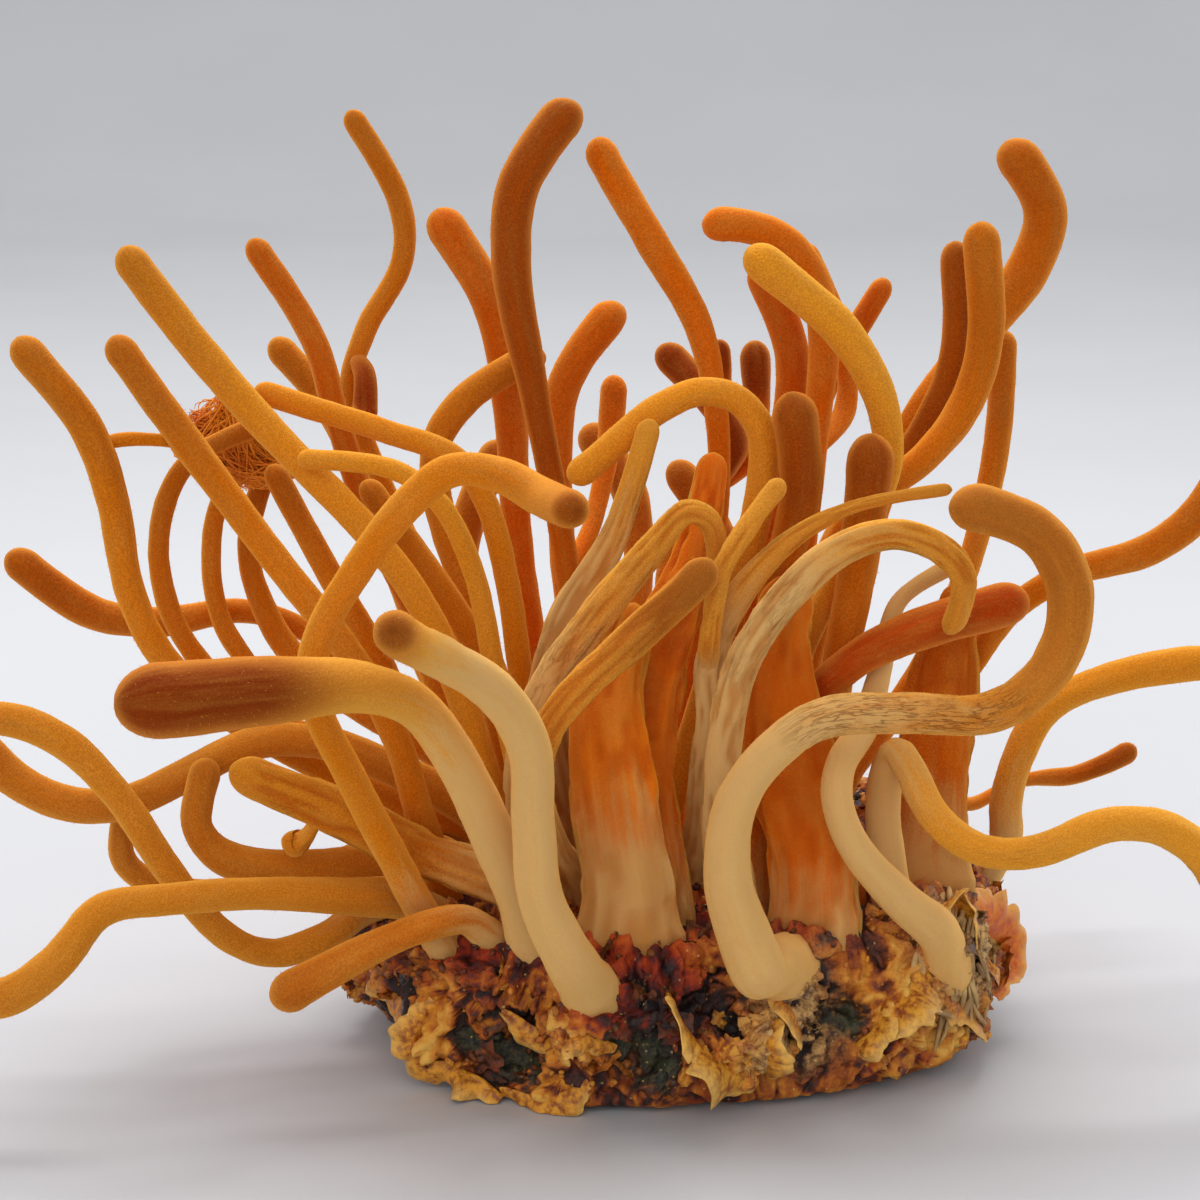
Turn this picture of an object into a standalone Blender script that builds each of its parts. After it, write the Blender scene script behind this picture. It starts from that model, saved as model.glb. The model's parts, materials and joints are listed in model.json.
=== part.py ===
"""A cordyceps bunch: club-shaped stalks growing out of a crusty block of substrate.

Blender 4.5, metres, +Z up. The origin is the middle of the block's flat underside, -Y is the bunch's front
and +X its right. Each stalk is one solid and so is the block. A few stalks carry small side twigs, which
grew from them and are joined to them.

A stalk's path is written as it is seen from the front, through a square window whose middle is the bunch's
middle: millimetres right of the window's left edge, millimetres below its upper edge, and how far behind the
bunch's middle plane the point lies. world_point() turns that into a place in space.
"""

import math
from collections import namedtuple

import bmesh
import bpy
import numpy as np
from mathutils import Matrix, Vector, noise
from mathutils.bvhtree import BVHTree

MM = 0.001

# The front view that the paths are written in, in millimetres
WINDOW = 120.0
EYE_DISTANCE = 300.0
EYE_TILT = math.radians(12.0)
WINDOW_MIDDLE = Vector((-6.5, 0.0, 43.5))

# The block of substrate, in millimetres
BLOCK_OUTLINE = (
    (-11, -30), (12, -28), (29.5, -17), (32.8, 2), (24, 21), (0, 27), (-23, 20), (-31, 2), (-25.5, -18.5),
)
BLOCK_TOP = 16.5
# The top rises to the right and to the back: how much, from where and over what run
TOP_RISE_RIGHT, RIGHT_RISE_FROM, RIGHT_RISE_RUN = 2.0, 8.0, 26.0
TOP_RISE_BACK, BACK_RISE_FROM, BACK_RISE_RUN = 2.0, -18.0, 36.0
BLOCK_SIDES = 60
FINER_IN_FRONT = 0.45
SIDE_RINGS = (
    (0.86, 0.0), (0.935, 0.06), (0.975, 0.18), (0.995, 0.33), (1.0, 0.48), (0.995, 0.63), (0.975, 0.77),
    (0.94, 0.90),
)
TOP_RINGS = (0.87, 0.74, 0.58, 0.41, 0.24, 0.10)
LOWEST_EDGE = 0.6
ROUGH_SIDE = 2.3
ROUGH_TOP = 0.9
LUMP_SIZE = 7.0
LUMP_SWELLS, LUMP_FOLDS, FOLD_FINENESS, LUMP_BIAS = 1.3, 0.45, 2.1, 0.2
SMOOTH_BELOW = 0.2
LUMP_LIFT, LIFT_ABOVE = 0.25, 0.4
LUMP_EDGE = 1.1
LUMP_HEIGHT = 1.35
# Its lumps and pits: where each shows in the front view, its size and how far it stands out or goes in
LUMPS = (
    ((40.5, 97.5, -20), 4.5, 2.6), ((43, 104.5, -22), 3.2, 1.8), ((51.5, 105.5, -27), 4.8, -4.2),
    ((47, 98.5, -26), 3.0, 1.6), ((52, 110.5, -24), 4.5, 2.2), ((61.5, 102.5, -28), 3.0, 1.8),
    ((64.5, 106.5, -28), 3.4, -3.6), ((63.5, 99.5, -27), 3.2, -1.6), ((67, 101.5, -28), 2.4, 2.2),
    ((70, 106.5, -28), 2.6, 2.6), ((71, 101, -27), 3.2, -3.4), ((76.5, 103, -27), 4.2, 2.4),
    ((81, 105.5, -25), 2.4, -3.0), ((84, 101, -24), 2.4, -2.8), ((90, 101, -22), 3.8, 2.8),
    ((95.5, 94, -17), 4.6, 1.6), ((95, 104, -17), 4.6, 2.4), ((100, 92, -4), 4.2, 2.2),
    ((35.5, 97, -6), 5.0, 2.4), ((38, 103, -10), 4.0, -2.4),
)

# Stalks, in millimetres
STEP = 1.8
GAP = 0.8
FOOT_GAP = 0.3
THICK_STALK = 3.5
FEW_SIDES, MANY_SIDES = 6, 8
RING_SPACING = 13.0
RING_BEND = math.radians(48)
FOOT_RINGS, FOOT_LENGTH = 1.2, 9.0
FEWEST_RINGS = 5
TIP_RING = 0.6
TIP_LENGTH = 0.62
FLARE_SHARE = 0.30
CLUB_STARTS = 0.52
CLUB_PEAK = 0.86
FLOOR_GAP = 1.5
LOWEST_FOOT = 15.0
CLEAR_ABOVE = 26.0

# Settling: how the crowded stalks make room for each other
ROUNDS = 340
FREE_ROUNDS = 190
LAST_ROUNDS = 12
PAIRS_EVERY = 12
PAIR_REACH = 3.0
PULL_BACK = 0.045
FOOT_PULL = 0.03
STIFFNESS = 0.25
SIDEWAYS = 0.18
LOOSE_POINTS = 8
MOVE_SHARE = 1.6
DEPTH_NUDGE = 0.15
DEPTH_PULL = 0.3
TWIG_FADE = 6
FOOT_FADE = 5
FOOT_UPRIGHT = 0.65
FOOT_TURNS = (0.5, 0.2)
FOOT_REACH = 4.0
LOOK_FROM = 6.0
BALLS_AT_ONCE = 400

# How slim each group's stalks are beside the widths given with their paths
SLIMNESS = {
    "front": 0.95, "centre": 1.0, "right": 0.88, "crown": 0.86, "left": 0.89, "low": 0.98, "back": 0.92,
}
# How far a stalk's round tip reaches past its path's last point
TIP_REACH = 1.1

Stalk = namedtuple("Stalk", "path foot neck club flat twigs", defaults=(1.0, ()))
Twig = namedtuple("Twig", "path foot neck club")

FRONT = {
    "front_hook": Stalk(
        ((76.5, 95.5, -24.5), (73, 91, -28), (71.8, 84, -29), (75, 77, -30), (81.5, 72, -31), (90, 71.3, -31),
         (98.5, 71.5, -30), (105, 67, -29), (107.2, 60, -28), (105, 54.5, -27), (100.5, 51.3, -27),
         (96.2, 50.8, -28)), 5.8, 4.1, 4.8),
    "front_near_club": Stalk(
        ((49, 91, -24), (47.8, 83, -30), (45.3, 76, -35), (41.5, 70.5, -40), (35.5, 68.6, -46),
         (27.5, 69, -52),
         (19.5, 69.8, -57), (12.8, 70.3, -60)), 5.0, 4.2, 6.6),
    "front_pointing": Stalk(
        ((55.3, 98.6, -29), (53, 93.4, -34.5), (51.6, 86, -35), (53, 78, -36.5), (50.5, 70.5, -39.5),
         (45, 66.3, -44), (41, 64.3, -51), (39.4, 63.2, -60)), 5.2, 4.2, 3.9),
    "front_lean_right": Stalk(
        ((88.5, 96, -25), (85, 89.5, -27.5), (81.7, 82, -26), (82, 75.5, -21), (85, 70, -13.5), (87, 63, -10.5),
         (89.5, 58, -9), (93.5, 56.2, -8)), 4.8, 3.2, 1.8),
    "front_trailing": Stalk(
        ((87, 89, -13), (86, 79, -15), (87.6, 73.8, -18), (90.3, 78.5, -21), (94.5, 83, -24),
         (100.5, 85.3, -27), (107, 83.6, -28), (113, 82, -28), (118.5, 84, -27), (122.5, 89, -26),
         (124, 95, -25)), 3.8, 3.4, 3.8),
    "front_red_club": Stalk(
        ((84, 88, -12), (79.5, 77, -13), (81.5, 70.5, -15.5), (88, 66, -18), (95, 62.8, -18),
         (102.3, 60.9, -17)),
        4.2, 3.6, 4.6),
    "front_furrowed_tip": Stalk(
        ((71, 88, -13), (70.3, 76, -17), (70.8, 65, -19.5), (75, 57.5, -20), (81, 52.5, -21), (87.5, 50, -22),
         (94, 49, -22)), 5.0, 3.2, 1.3, 0.65,
        (Twig(((70.4, 78, -16.5), (71.6, 72, -21.5), (71, 66, -24.5), (71.3, 60, -24), (73.5, 54, -22),
               (77.5, 48.8, -20)), 2.4, 2.3, 2.3),)),
    "front_furrowed_arch": Stalk(
        ((72.8, 89, -18), (71.8, 77, -22), (73.6, 66, -24), (79, 58.5, -24.5), (86, 53.6, -25),
         (92.5, 53.8, -24),
         (96.4, 58, -21), (95, 62, -18)), 5.0, 3.6, 3.0, 0.7),
    "front_pale_fan": Stalk(
        ((54, 88, -12), (53, 79, -15), (54, 69, -17), (58.6, 59.5, -18.5), (63.2, 50.8, -18),
         (65, 43.3, -17)), 5.5, 4.8, 2.4, 0.55),
    "front_furrowed_left": Stalk(
        ((51.5, 89, -17), (51.8, 80, -21.5), (53.6, 70.5, -25), (59.5, 61.8, -25), (65.6, 54.8, -23),
         (69, 51.2, -22), (71.8, 53, -21), (72, 56.5, -20)), 4.2, 3.8, 3.0, 0.65),
    "front_brown_tip": Stalk(
        ((54.5, 91, -21), (53.2, 82, -26.5), (54.4, 73.5, -30), (59.8, 67, -30), (66.3, 61.6, -28.5),
         (70.6, 57, -27)), 3.8, 3.4, 3.8, 0.8),
}

CENTRE = {
    "centre_pale_column": Stalk(
        ((60, 94.5, -25), (60, 86, -25.5), (59.4, 78, -24.5), (59.4, 71, -21.5), (60.5, 65.5, -17.5),
         (62, 60.5, -14)), 10.0, 9.2, 5.0, 0.5),
    "centre_orange_column": Stalk(
        ((67.8, 94, -23), (67.4, 86, -23.5), (66.4, 78, -22.5), (66, 70.5, -20), (67.5, 64, -16.5),
         (70, 56, -12), (71.5, 46.5, -7)), 5.6, 8.6, 3.2, 0.5),
    "centre_right_column": Stalk(
        ((79, 92.5, -20), (79, 83, -20), (78.2, 74, -18.5), (77.8, 65.5, -16), (78.6, 58, -13)),
        8.6, 10.2, 5.2, 0.45),
}

RIGHT = {
    "right_tall_front": Stalk(
        ((76, 87, -4), (79.5, 70, -5), (83, 56, -5), (88.5, 48.5, -4), (93.5, 45, -3), (97.3, 39, -2),
         (98.8, 31, -2), (98, 23.3, -2)), 3.8, 3.0, 4.3),
    "right_tall_back": Stalk(
        ((79, 84, 6), (81, 68, 4), (84, 56, 3), (89, 47, 3), (93.3, 41.5, 3), (95.8, 34, 3), (95.5, 25.2, 3)),
        3.6, 2.8, 3.6),
    "right_big_club": Stalk(
        ((82, 82, 12), (84.5, 66, 14), (87.5, 52, 15), (91, 42.5, 16), (96, 36, 17), (101, 29.5, 18),
         (104, 24.5, 18), (104.2, 19, 18), (101, 15.2, 18)), 3.8, 3.0, 5.4),
    "right_behind": Stalk(
        ((88, 81, 12), (92.5, 69, 15), (97, 57, 18), (98.7, 48, 20), (100.5, 40, 22), (100.2, 34, 24)),
        3.6, 2.9, 3.4),
    "right_rising": Stalk(
        ((91, 83, 6), (96, 70, 2), (101.5, 61, -2), (108, 57, -5), (113.5, 55.6, -7), (118.5, 52.8, -8),
         (122, 48, -8), (124.5, 43, -7)), 3.6, 3.0, 4.0),
    "right_level": Stalk(
        ((94, 87, 4), (98.5, 77, 5), (104, 70.2, 7), (112, 67.8, 10), (119, 66.2, 12), (126.5, 66, 14)),
        4.0, 3.8, 4.4),
    "right_thin_knob": Stalk(
        ((92, 84, 18), (96.5, 83, 22), (100.5, 80, 25), (104.5, 77.3, 27), (109.3, 77.6, 28),
         (112.7, 75.2, 28)),
        2.6, 1.6, 2.9),
    "right_pale_column": Stalk(
        ((91, 87.5, -12), (92.2, 81.5, -11), (93, 75.5, -9), (94, 69.5, -6), (95.2, 64, -4),
         (95.6, 59.5, -3)),
        12.0, 9.6, 4.4, 0.5),
    "right_ball_tip": Stalk(
        ((83, 87, -10), (83.5, 72, -9), (84.5, 62, -9), (86.3, 52, -10), (87, 44.2, -12)), 4.0, 3.6, 5.2),
}

CROWN = {
    "crown_tall": Stalk(
        ((60, 87, -4), (58.5, 70, -5), (56.5, 56, -6), (55, 47, -7), (53.6, 40, -7), (51.8, 31, -7),
         (51, 23, -7),
         (53, 15.5, -6), (57, 11.2, -5)), 4.0, 2.9, 4.9),
    "crown_left": Stalk(
        ((55, 84, 8), (53.2, 68, 9), (51.8, 55, 10), (51.2, 44, 10), (50.2, 34, 10), (47.6, 27, 10),
         (44, 22, 10)), 3.8, 3.5, 4.7),
    "crown_back_curl": Stalk(
        ((58, 82, 18), (56.8, 66, 20), (56.1, 52, 21), (55.8, 42, 22), (57.7, 35.5, 22), (61.5, 31.2, 22)),
        3.4, 2.8, 4.5, 1.0,
        (Twig(((56.6, 62, 20), (59.3, 52, 26), (61, 44, 30), (61.4, 38.5, 31)), 2.4, 2.3, 3.6),)),
    "crown_slim": Stalk(
        ((67, 85, 0), (69, 68, 1), (71.8, 52, 2), (71.3, 38, 2), (69.4, 31.5, 1), (66.3, 25.8, 0),
         (62, 20, 0),
         (60, 14.8, 0)), 3.4, 2.5, 3.8),
    "crown_far_dark": Stalk(
        ((69, 80, 22), (72, 62, 24), (73, 48, 25), (71, 40, 26), (66.7, 35.4, 27)), 3.0, 2.4, 4.1, 1.0,
        (Twig(((72.4, 56, 24.5), (75.8, 45, 28), (75.6, 35.2, 30)), 2.4, 2.4, 3.9),
         Twig(((72.9, 46, 25), (72.9, 40, 23), (72.3, 35.2, 22)), 2.2, 2.2, 2.7))),
    "crown_curled_over": Stalk(
        ((77, 84, 6), (79.5, 66, 7), (81, 50, 7), (82, 38, 6), (82.2, 30.5, 5), (79.5, 25.3, 4),
         (75, 22.3, 3),
         (71.3, 22.7, 3)), 3.6, 3.0, 4.1, 1.0,
        (Twig(((81.2, 47, 7), (84.6, 40, 12), (83.6, 31, 13), (80.5, 25.2, 12)), 2.6, 2.6, 3.1),)),
    "crown_golden": Stalk(
        ((74, 88, -10), (78.5, 70, -9), (84.5, 57, -9), (88.3, 49, -9), (88.8, 42.5, -9), (86, 35.5, -9),
         (80.5, 29.5, -10), (75.5, 25.8, -11)), 3.8, 3.1, 4.4),
    "crown_under_golden": Stalk(
        ((71, 84, 10), (74.5, 64, 11), (77.7, 48, 10), (79.3, 38, 9), (78.3, 31.5, 8), (76, 27.3, 7)),
        3.6, 3.3, 4.2),
    "crown_side_tip": Stalk(
        ((76, 81, 18), (78, 62, 19), (80, 48, 19), (82.5, 39, 18), (86.3, 32, 17), (88.2, 28.8, 17)),
        3.2, 2.6, 2.9),
    "crown_thick_brown": Stalk(
        ((75, 89, -16), (76.3, 70, -15), (78, 58, -15), (80, 50.5, -15), (80.2, 45.5, -16),
         (79.3, 40.5, -17)),
        4.2, 3.6, 5.0),
    "crown_arch": Stalk(
        ((67, 88, -8), (71, 70, -10), (75.5, 53, -11), (76.5, 44, -12), (72.5, 39.3, -12), (66.5, 40.5, -13),
         (61.5, 45.2, -13), (57.8, 47.3, -13)), 3.8, 3.6, 3.4),
}

LEFT = {
    "left_outer": Stalk(
        ((42, 87, -6), (33, 80, -9), (24, 74, -12), (16.5, 67, -15), (13, 60, -16), (11.6, 52.5, -17),
         (10, 45.5, -18), (6.5, 39.8, -18), (2.2, 34.8, -18)), 3.4, 3.2, 3.7, 1.0,
        (Twig(((10, 45, -18), (13, 44.2, -16), (17.2, 44.4, -15)), 1.7, 1.6, 1.5),)),
    "left_second": Stalk(
        ((43, 89, -18), (40.8, 80, -21), (38.3, 71.5, -22), (33.5, 63.5, -23), (27.5, 56, -23),
         (21.5, 48, -23),
         (16, 40.5, -23), (11.8, 34.7, -23)), 3.4, 3.1, 3.4),
    "left_long": Stalk(
        ((50, 87, -12), (47, 72, -14), (42, 60, -15), (35.5, 51.8, -15), (28, 44.3, -15), (21, 36.4, -15),
         (15.7, 29.7, -15), (12.8, 25.8, -15)), 3.6, 3.3, 3.7),
    "left_orange": Stalk(
        ((50, 84, 4), (43.5, 67, 5), (37, 52, 6), (34, 42, 6), (32.4, 35.5, 6), (28.5, 29.5, 6),
         (25.8, 24.8, 6)), 3.2, 2.8, 3.0),
    "left_question": Stalk(
        ((53, 82, 14), (46, 65, 14), (39, 50, 13), (35.2, 40, 12), (36, 34, 12), (39.8, 27.8, 12),
         (40.3, 21.5, 12), (38, 16.3, 12), (35.4, 12, 12)), 3.0, 2.4, 2.7, 1.0,
        (Twig(((35.6, 36.5, 12), (37, 37.6, 8.5), (36.8, 41.4, 7)), 2.2, 2.6, 3.2),)),
    "left_far": Stalk(
        ((48, 81, 18), (42, 64, 19), (36.5, 49, 20), (32.5, 40, 21), (27.8, 34.8, 22)), 3.0, 2.7, 3.6),
    "left_level_upper": Stalk(
        ((54, 87, -8), (52, 70, -9), (50, 55, -10), (46.5, 46.7, -11), (40, 43.6, -11), (33, 41.5, -11),
         (26.5, 39.3, -11)), 3.2, 2.7, 2.6),
    "left_level_lower": Stalk(
        ((53, 89, -15), (50.5, 72, -16), (47.5, 57, -17), (43, 49, -18), (37, 46.2, -17), (31, 45.8, -16)),
        3.0, 2.4, 2.2),
    "left_near_bridge": Stalk(
        ((43, 90, -25), (35.5, 78, -32), (30.8, 67.5, -36), (34.5, 58.8, -37), (40, 51.2, -39), (45, 47, -40),
         (50, 47.5, -42), (54.3, 49.8, -46), (57.2, 51, -53)), 3.6, 3.2, 3.7),
    "left_low_club": Stalk(
        ((46, 84, 10), (37, 71, 8), (28, 62.3, 6), (20, 61.8, 4), (12.5, 62.5, 2), (6, 59.5, 0),
         (1.6, 56, -1)),
        3.0, 2.7, 4.0),
    "left_inner_pair": Stalk(
        ((43, 86, 0), (33, 77, -2), (24, 71, -4), (18.2, 64, -6), (15.9, 56.5, -7), (16.7, 49.8, -7),
         (20.3, 44.8, -6), (25, 43, -5)), 2.9, 2.5, 2.3, 1.0,
        (Twig(((31, 75.6, -2.5), (25, 69, 0), (21.4, 61.5, 1), (21, 54.5, 1), (23, 48, 1), (27, 45, 2)),
              2.3, 2.3, 2.2),)),
    "left_inner_fork": Stalk(
        ((47, 84, 4), (39, 74.5, 4), (31, 68, 5), (26.3, 60.5, 5), (24.8, 53, 5), (26.5, 47.5, 5)),
        3.6, 3.2, 2.5, 1.0,
        (Twig(((40.5, 76, 4), (37, 66.5, -1), (32.3, 56.5, -4), (27.5, 47.5, -4)), 3.0, 3.0, 2.8),)),
    "left_inner_thick": Stalk(
        ((52, 87, -6), (49, 68, -8), (45, 60.5, -9), (40.5, 54, -9), (37, 49, -8)), 3.8, 3.5, 2.9),
    "left_arch": Stalk(
        ((52, 86, 2), (49, 69, 1), (45, 54, 0), (43.2, 46, 0), (46.3, 40.3, 0), (50.5, 37, 1),
         (53.5, 35.8, 2)),
        3.6, 3.4, 3.5),
}

LOW = {
    "low_long": Stalk(
        ((41, 91, -14), (35, 94, -18), (28, 95.9, -20), (22.2, 93.4, -22), (17, 87.2, -23), (12.8, 81, -24),
         (8.5, 75.7, -24), (3, 72.5, -24), (-3, 71.8, -23), (-8, 73.5, -22)), 3.2, 2.9, 3.4),
    "low_wavy": Stalk(
        ((43, 88, -8), (36, 78.5, -11), (29, 74.5, -13), (22, 75.5, -15), (16, 79.3, -16), (10, 81, -17),
         (4, 79.8, -17), (-1, 76, -16), (-5.5, 71, -15)), 4.4, 3.4, 3.8),
    "low_s_curve": Stalk(
        ((42, 92.5, -22), (35.5, 89.5, -26), (28, 89, -29), (20, 89.8, -32), (13, 90, -34), (8.8, 91.8, -35),
         (6.2, 95.6, -36), (2.4, 99, -36), (-3, 100.3, -36), (-7, 99, -35)), 4.6, 3.1, 3.9),
    "low_blunt": Stalk(
        ((45, 93.5, -25), (39.5, 92.2, -29), (35, 94.3, -30), (30.5, 96.8, -31), (26.6, 99.3, -31)),
        3.2, 3.0, 4.2),
    "low_broken": Stalk(
        ((46, 90.5, -22), (41.5, 86.2, -22.5), (35, 82.4, -22.5), (28.5, 79.2, -23), (23.2, 77, -24)),
        5.6, 5.2, 4.2, 0.7,
        (Twig(((40, 85.6, -22), (36, 85.8, -21), (31.5, 84.8, -20.5), (26, 84.2, -20)), 3.2, 3.4, 2.9),)),
    "low_hidden_curl": Stalk(
        ((40, 89, -4), (32, 91, -6), (23, 91, -8), (15.5, 89.3, -10), (11.9, 85.6, -11), (12.7, 81.3, -11)),
        3.2, 2.8, 2.8),
    "low_broad_curl": Stalk(
        ((42, 86, -11), (33, 86.5, -14), (26, 86.5, -16), (21, 84.3, -17), (19.6, 80, -16), (21, 76, -15)),
        4.2, 4.0, 3.2),
}

BACK = {
    "back_left": Stalk(
        ((50, 83, 21), (47, 74, 27), (46, 62, 32), (47, 51, 36), (50, 45, 39)), 3.8, 3.2, 4.4, 1.0,
        (Twig(((47.4, 76, 26), (42.5, 68, 31), (41, 59, 35)), 2.6, 2.6, 3.6),)),
    "back_middle": Stalk(
        ((62, 82, 17), (63, 70, 25), (64, 57, 32), (62.5, 48, 37), (59, 43.5, 41)), 4.0, 3.2, 4.6, 1.0,
        (Twig(((63.2, 70, 25), (66.5, 61, 33), (67.5, 54, 39)), 2.6, 2.6, 3.8),)),
    "back_right": Stalk(
        ((76, 82, 23), (79, 71, 30), (82, 60, 35), (85, 52, 39), (88.5, 49, 43)), 4.0, 3.2, 4.6, 1.0,
        (Twig(((79.3, 70, 30.5), (77, 60, 37), (77.5, 52, 42)), 2.6, 2.6, 3.8),)),
    "back_inner": Stalk(
        ((70, 84, 12), (71, 72, 19), (72, 60, 27), (70.5, 52, 31), (67, 47, 33)), 3.8, 3.0, 4.2),
}

SHADES = {
    "front": ((0.72, 0.46, 0.16), 0.75, FRONT),
    "centre": ((0.68, 0.33, 0.07), 0.70, CENTRE),
    "right": ((0.66, 0.26, 0.04), 0.75, RIGHT),
    "crown": ((0.68, 0.22, 0.02), 0.78, CROWN),
    "left": ((0.66, 0.27, 0.04), 0.78, LEFT),
    "low": ((0.68, 0.34, 0.09), 0.75, LOW),
    "back": ((0.64, 0.24, 0.03), 0.78, BACK),
}
BLOCK_SHADE = ((0.22, 0.09, 0.03), 0.9)


def clear_scene():
    for obj in list(bpy.data.objects):
        bpy.data.objects.remove(obj, do_unlink=True)


def make_material(name, colour, roughness):
    material = bpy.data.materials.new(name)
    material.use_nodes = True
    shader = material.node_tree.nodes["Principled BSDF"]
    shader.inputs["Base Color"].default_value = (*colour, 1.0)
    shader.inputs["Roughness"].default_value = roughness
    shader.inputs["Metallic"].default_value = 0.0
    return material


def world_point(across, down, behind):
    """A point seen at that place of the front view, on the upright plane that far behind the middle."""
    right = across - WINDOW / 2
    up = WINDOW / 2 - down
    level, rise = math.cos(EYE_TILT), math.sin(EYE_TILT)
    eye = WINDOW_MIDDLE + EYE_DISTANCE * Vector((0, -level, rise))
    ray = Vector((right, up * rise + EYE_DISTANCE * level, up * level - EYE_DISTANCE * rise))
    return eye + ray * ((behind - eye.y) / ray.y)


def smooth_line(points, step=STEP):
    """Evenly spaced points along the Catmull-Rom curve through some points."""
    through = np.array([tuple(p) for p in points], float)
    ends = [2 * through[0] - through[1], *through, 2 * through[-1] - through[-2]]
    curve = []
    for a, b, c, d in zip(ends, ends[1:], ends[2:], ends[3:]):
        for t in np.linspace(0, 1, 24, endpoint=False):
            curve.append(
                0.5 * (2 * b + (c - a) * t + (2 * a - 5 * b + 4 * c - d) * t * t
                       + (3 * b - a - 3 * c + d) * t ** 3)
            )
    curve.append(through[-1])
    return evenly_spaced(np.array(curve), step)


def evenly_spaced(curve, step):
    run = np.concatenate([[0], np.cumsum(np.linalg.norm(np.diff(curve, axis=0), axis=1))])
    places = np.linspace(0, run[-1], max(4, round(run[-1] / step) + 1))
    return np.stack([np.interp(places, run, curve[:, k]) for k in range(3)], axis=1)


def soft_step(x):
    x = np.clip(x, 0, 1)
    return x * x * (3 - 2 * x)


def slimmed(shape, factor):
    return shape._replace(foot=shape.foot * factor, neck=shape.neck * factor, club=shape.club * factor)


def girth(share, length, shape):
    """The stalk's width at a share of its length: a flared foot, a slim neck, a club and a round tip."""
    share = np.asarray(share, float)
    width = shape.foot + (shape.neck - shape.foot) * soft_step(share / FLARE_SHARE)
    width = width + (shape.club - shape.neck) * soft_step((share - CLUB_STARTS) / (CLUB_PEAK - CLUB_STARTS))
    left = (1 - share) * length
    round_end = np.clip(1 - left / (TIP_LENGTH * shape.club), 0, 1)
    return width * np.sqrt(np.clip(1 - round_end ** 2, 0, 1))


def even_radius(radius, sides):
    """The radius that gives a ring of few sides the area of the full circle."""
    return radius * math.sqrt(2 * math.pi / (sides * math.sin(2 * math.pi / sides)))


def lumps(point, size):
    """Rough growth: noise from about -1 to 1 with folds in it."""
    p = Vector(point) / size
    folds = 1 - 2 * abs(noise.noise(p * FOLD_FINENESS + Vector((7, 3, 1))))
    return LUMP_SWELLS * noise.noise(p) + LUMP_FOLDS * folds - LUMP_BIAS


def block_top_height(x, y):
    right = TOP_RISE_RIGHT * soft_step((x - RIGHT_RISE_FROM) / RIGHT_RISE_RUN)
    return BLOCK_TOP + right + TOP_RISE_BACK * soft_step((y - BACK_RISE_FROM) / BACK_RISE_RUN)


def loft(name, rings, tip, foot=None):
    """A closed mesh through rings of points in order, with a fan to the tip and one over the first ring."""
    bm = bmesh.new()
    loops = [[bm.verts.new(Vector(p) * MM) for p in ring] for ring in rings]
    count = len(loops[0])
    for low, high in zip(loops, loops[1:]):
        for i in range(count):
            j = (i + 1) % count
            bm.faces.new((low[i], low[j], high[j], high[i]))
    top = bm.verts.new(Vector(tip) * MM)
    middle = np.mean([tuple(p) for p in rings[0]], axis=0) if foot is None else foot
    bottom = bm.verts.new(Vector(middle) * MM)
    for i in range(count):
        j = (i + 1) % count
        bm.faces.new((loops[-1][i], loops[-1][j], top))
        bm.faces.new((loops[0][j], loops[0][i], bottom))
    bmesh.ops.recalc_face_normals(bm, faces=bm.faces)
    mesh = bpy.data.meshes.new(name)
    bm.to_mesh(mesh)
    bm.free()
    mesh.shade_smooth()
    obj = bpy.data.objects.new(name, mesh)
    return obj


def make_block():
    corners = np.array(BLOCK_OUTLINE, float)
    closed = [(*c, 0.0) for c in (corners[-1], *corners, corners[0], corners[1])]
    outline = smooth_line(closed, 1.0)
    turn = np.unwrap(np.arctan2(outline[:, 1], outline[:, 0]))
    reach = np.linalg.norm(outline[:, :2], axis=1)

    def ring(scale, height_at):
        points = []
        for i in range(BLOCK_SIDES):
            even = 2 * math.pi * i / BLOCK_SIDES
            angle = even - math.pi / 2 - FINER_IN_FRONT * math.sin(even)
            radius = scale * np.interp(angle, turn, reach, period=2 * math.pi)
            x, y = radius * math.cos(angle), radius * math.sin(angle)
            points.append(Vector((x, y, height_at(x, y))))
        return points

    marks = [(world_point(*place), size, push) for place, size, push in LUMPS]
    rings = [ring(SIDE_RINGS[0][0], lambda x, y: 0.0)]
    for scale, share in SIDE_RINGS[1:]:
        side = ring(scale, lambda x, y: share * block_top_height(x, y))
        for p in side:
            out = Vector((p.x, p.y, 0)).normalized()
            bump = ROUGH_SIDE * lumps(p, LUMP_SIZE)
            for mark, size, push in marks:
                bump += LUMP_HEIGHT * push * math.exp(-LUMP_EDGE * ((p - mark).length / size) ** 2)
            p += out * bump * soft_step(share / SMOOTH_BELOW)
            p.z += LUMP_LIFT * bump * soft_step(share / LIFT_ABOVE)
            p.z = max(p.z, LOWEST_EDGE)
        rings.append(side)
    for scale in TOP_RINGS:
        top = ring(scale, block_top_height)
        for p in top:
            p.z += ROUGH_TOP * lumps(p, LUMP_SIZE)
        rings.append(top)
    tip = Vector((0, 0, block_top_height(0, 0)))
    return loft("substrate_block", rings, tip, (0, 0, 0))


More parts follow.
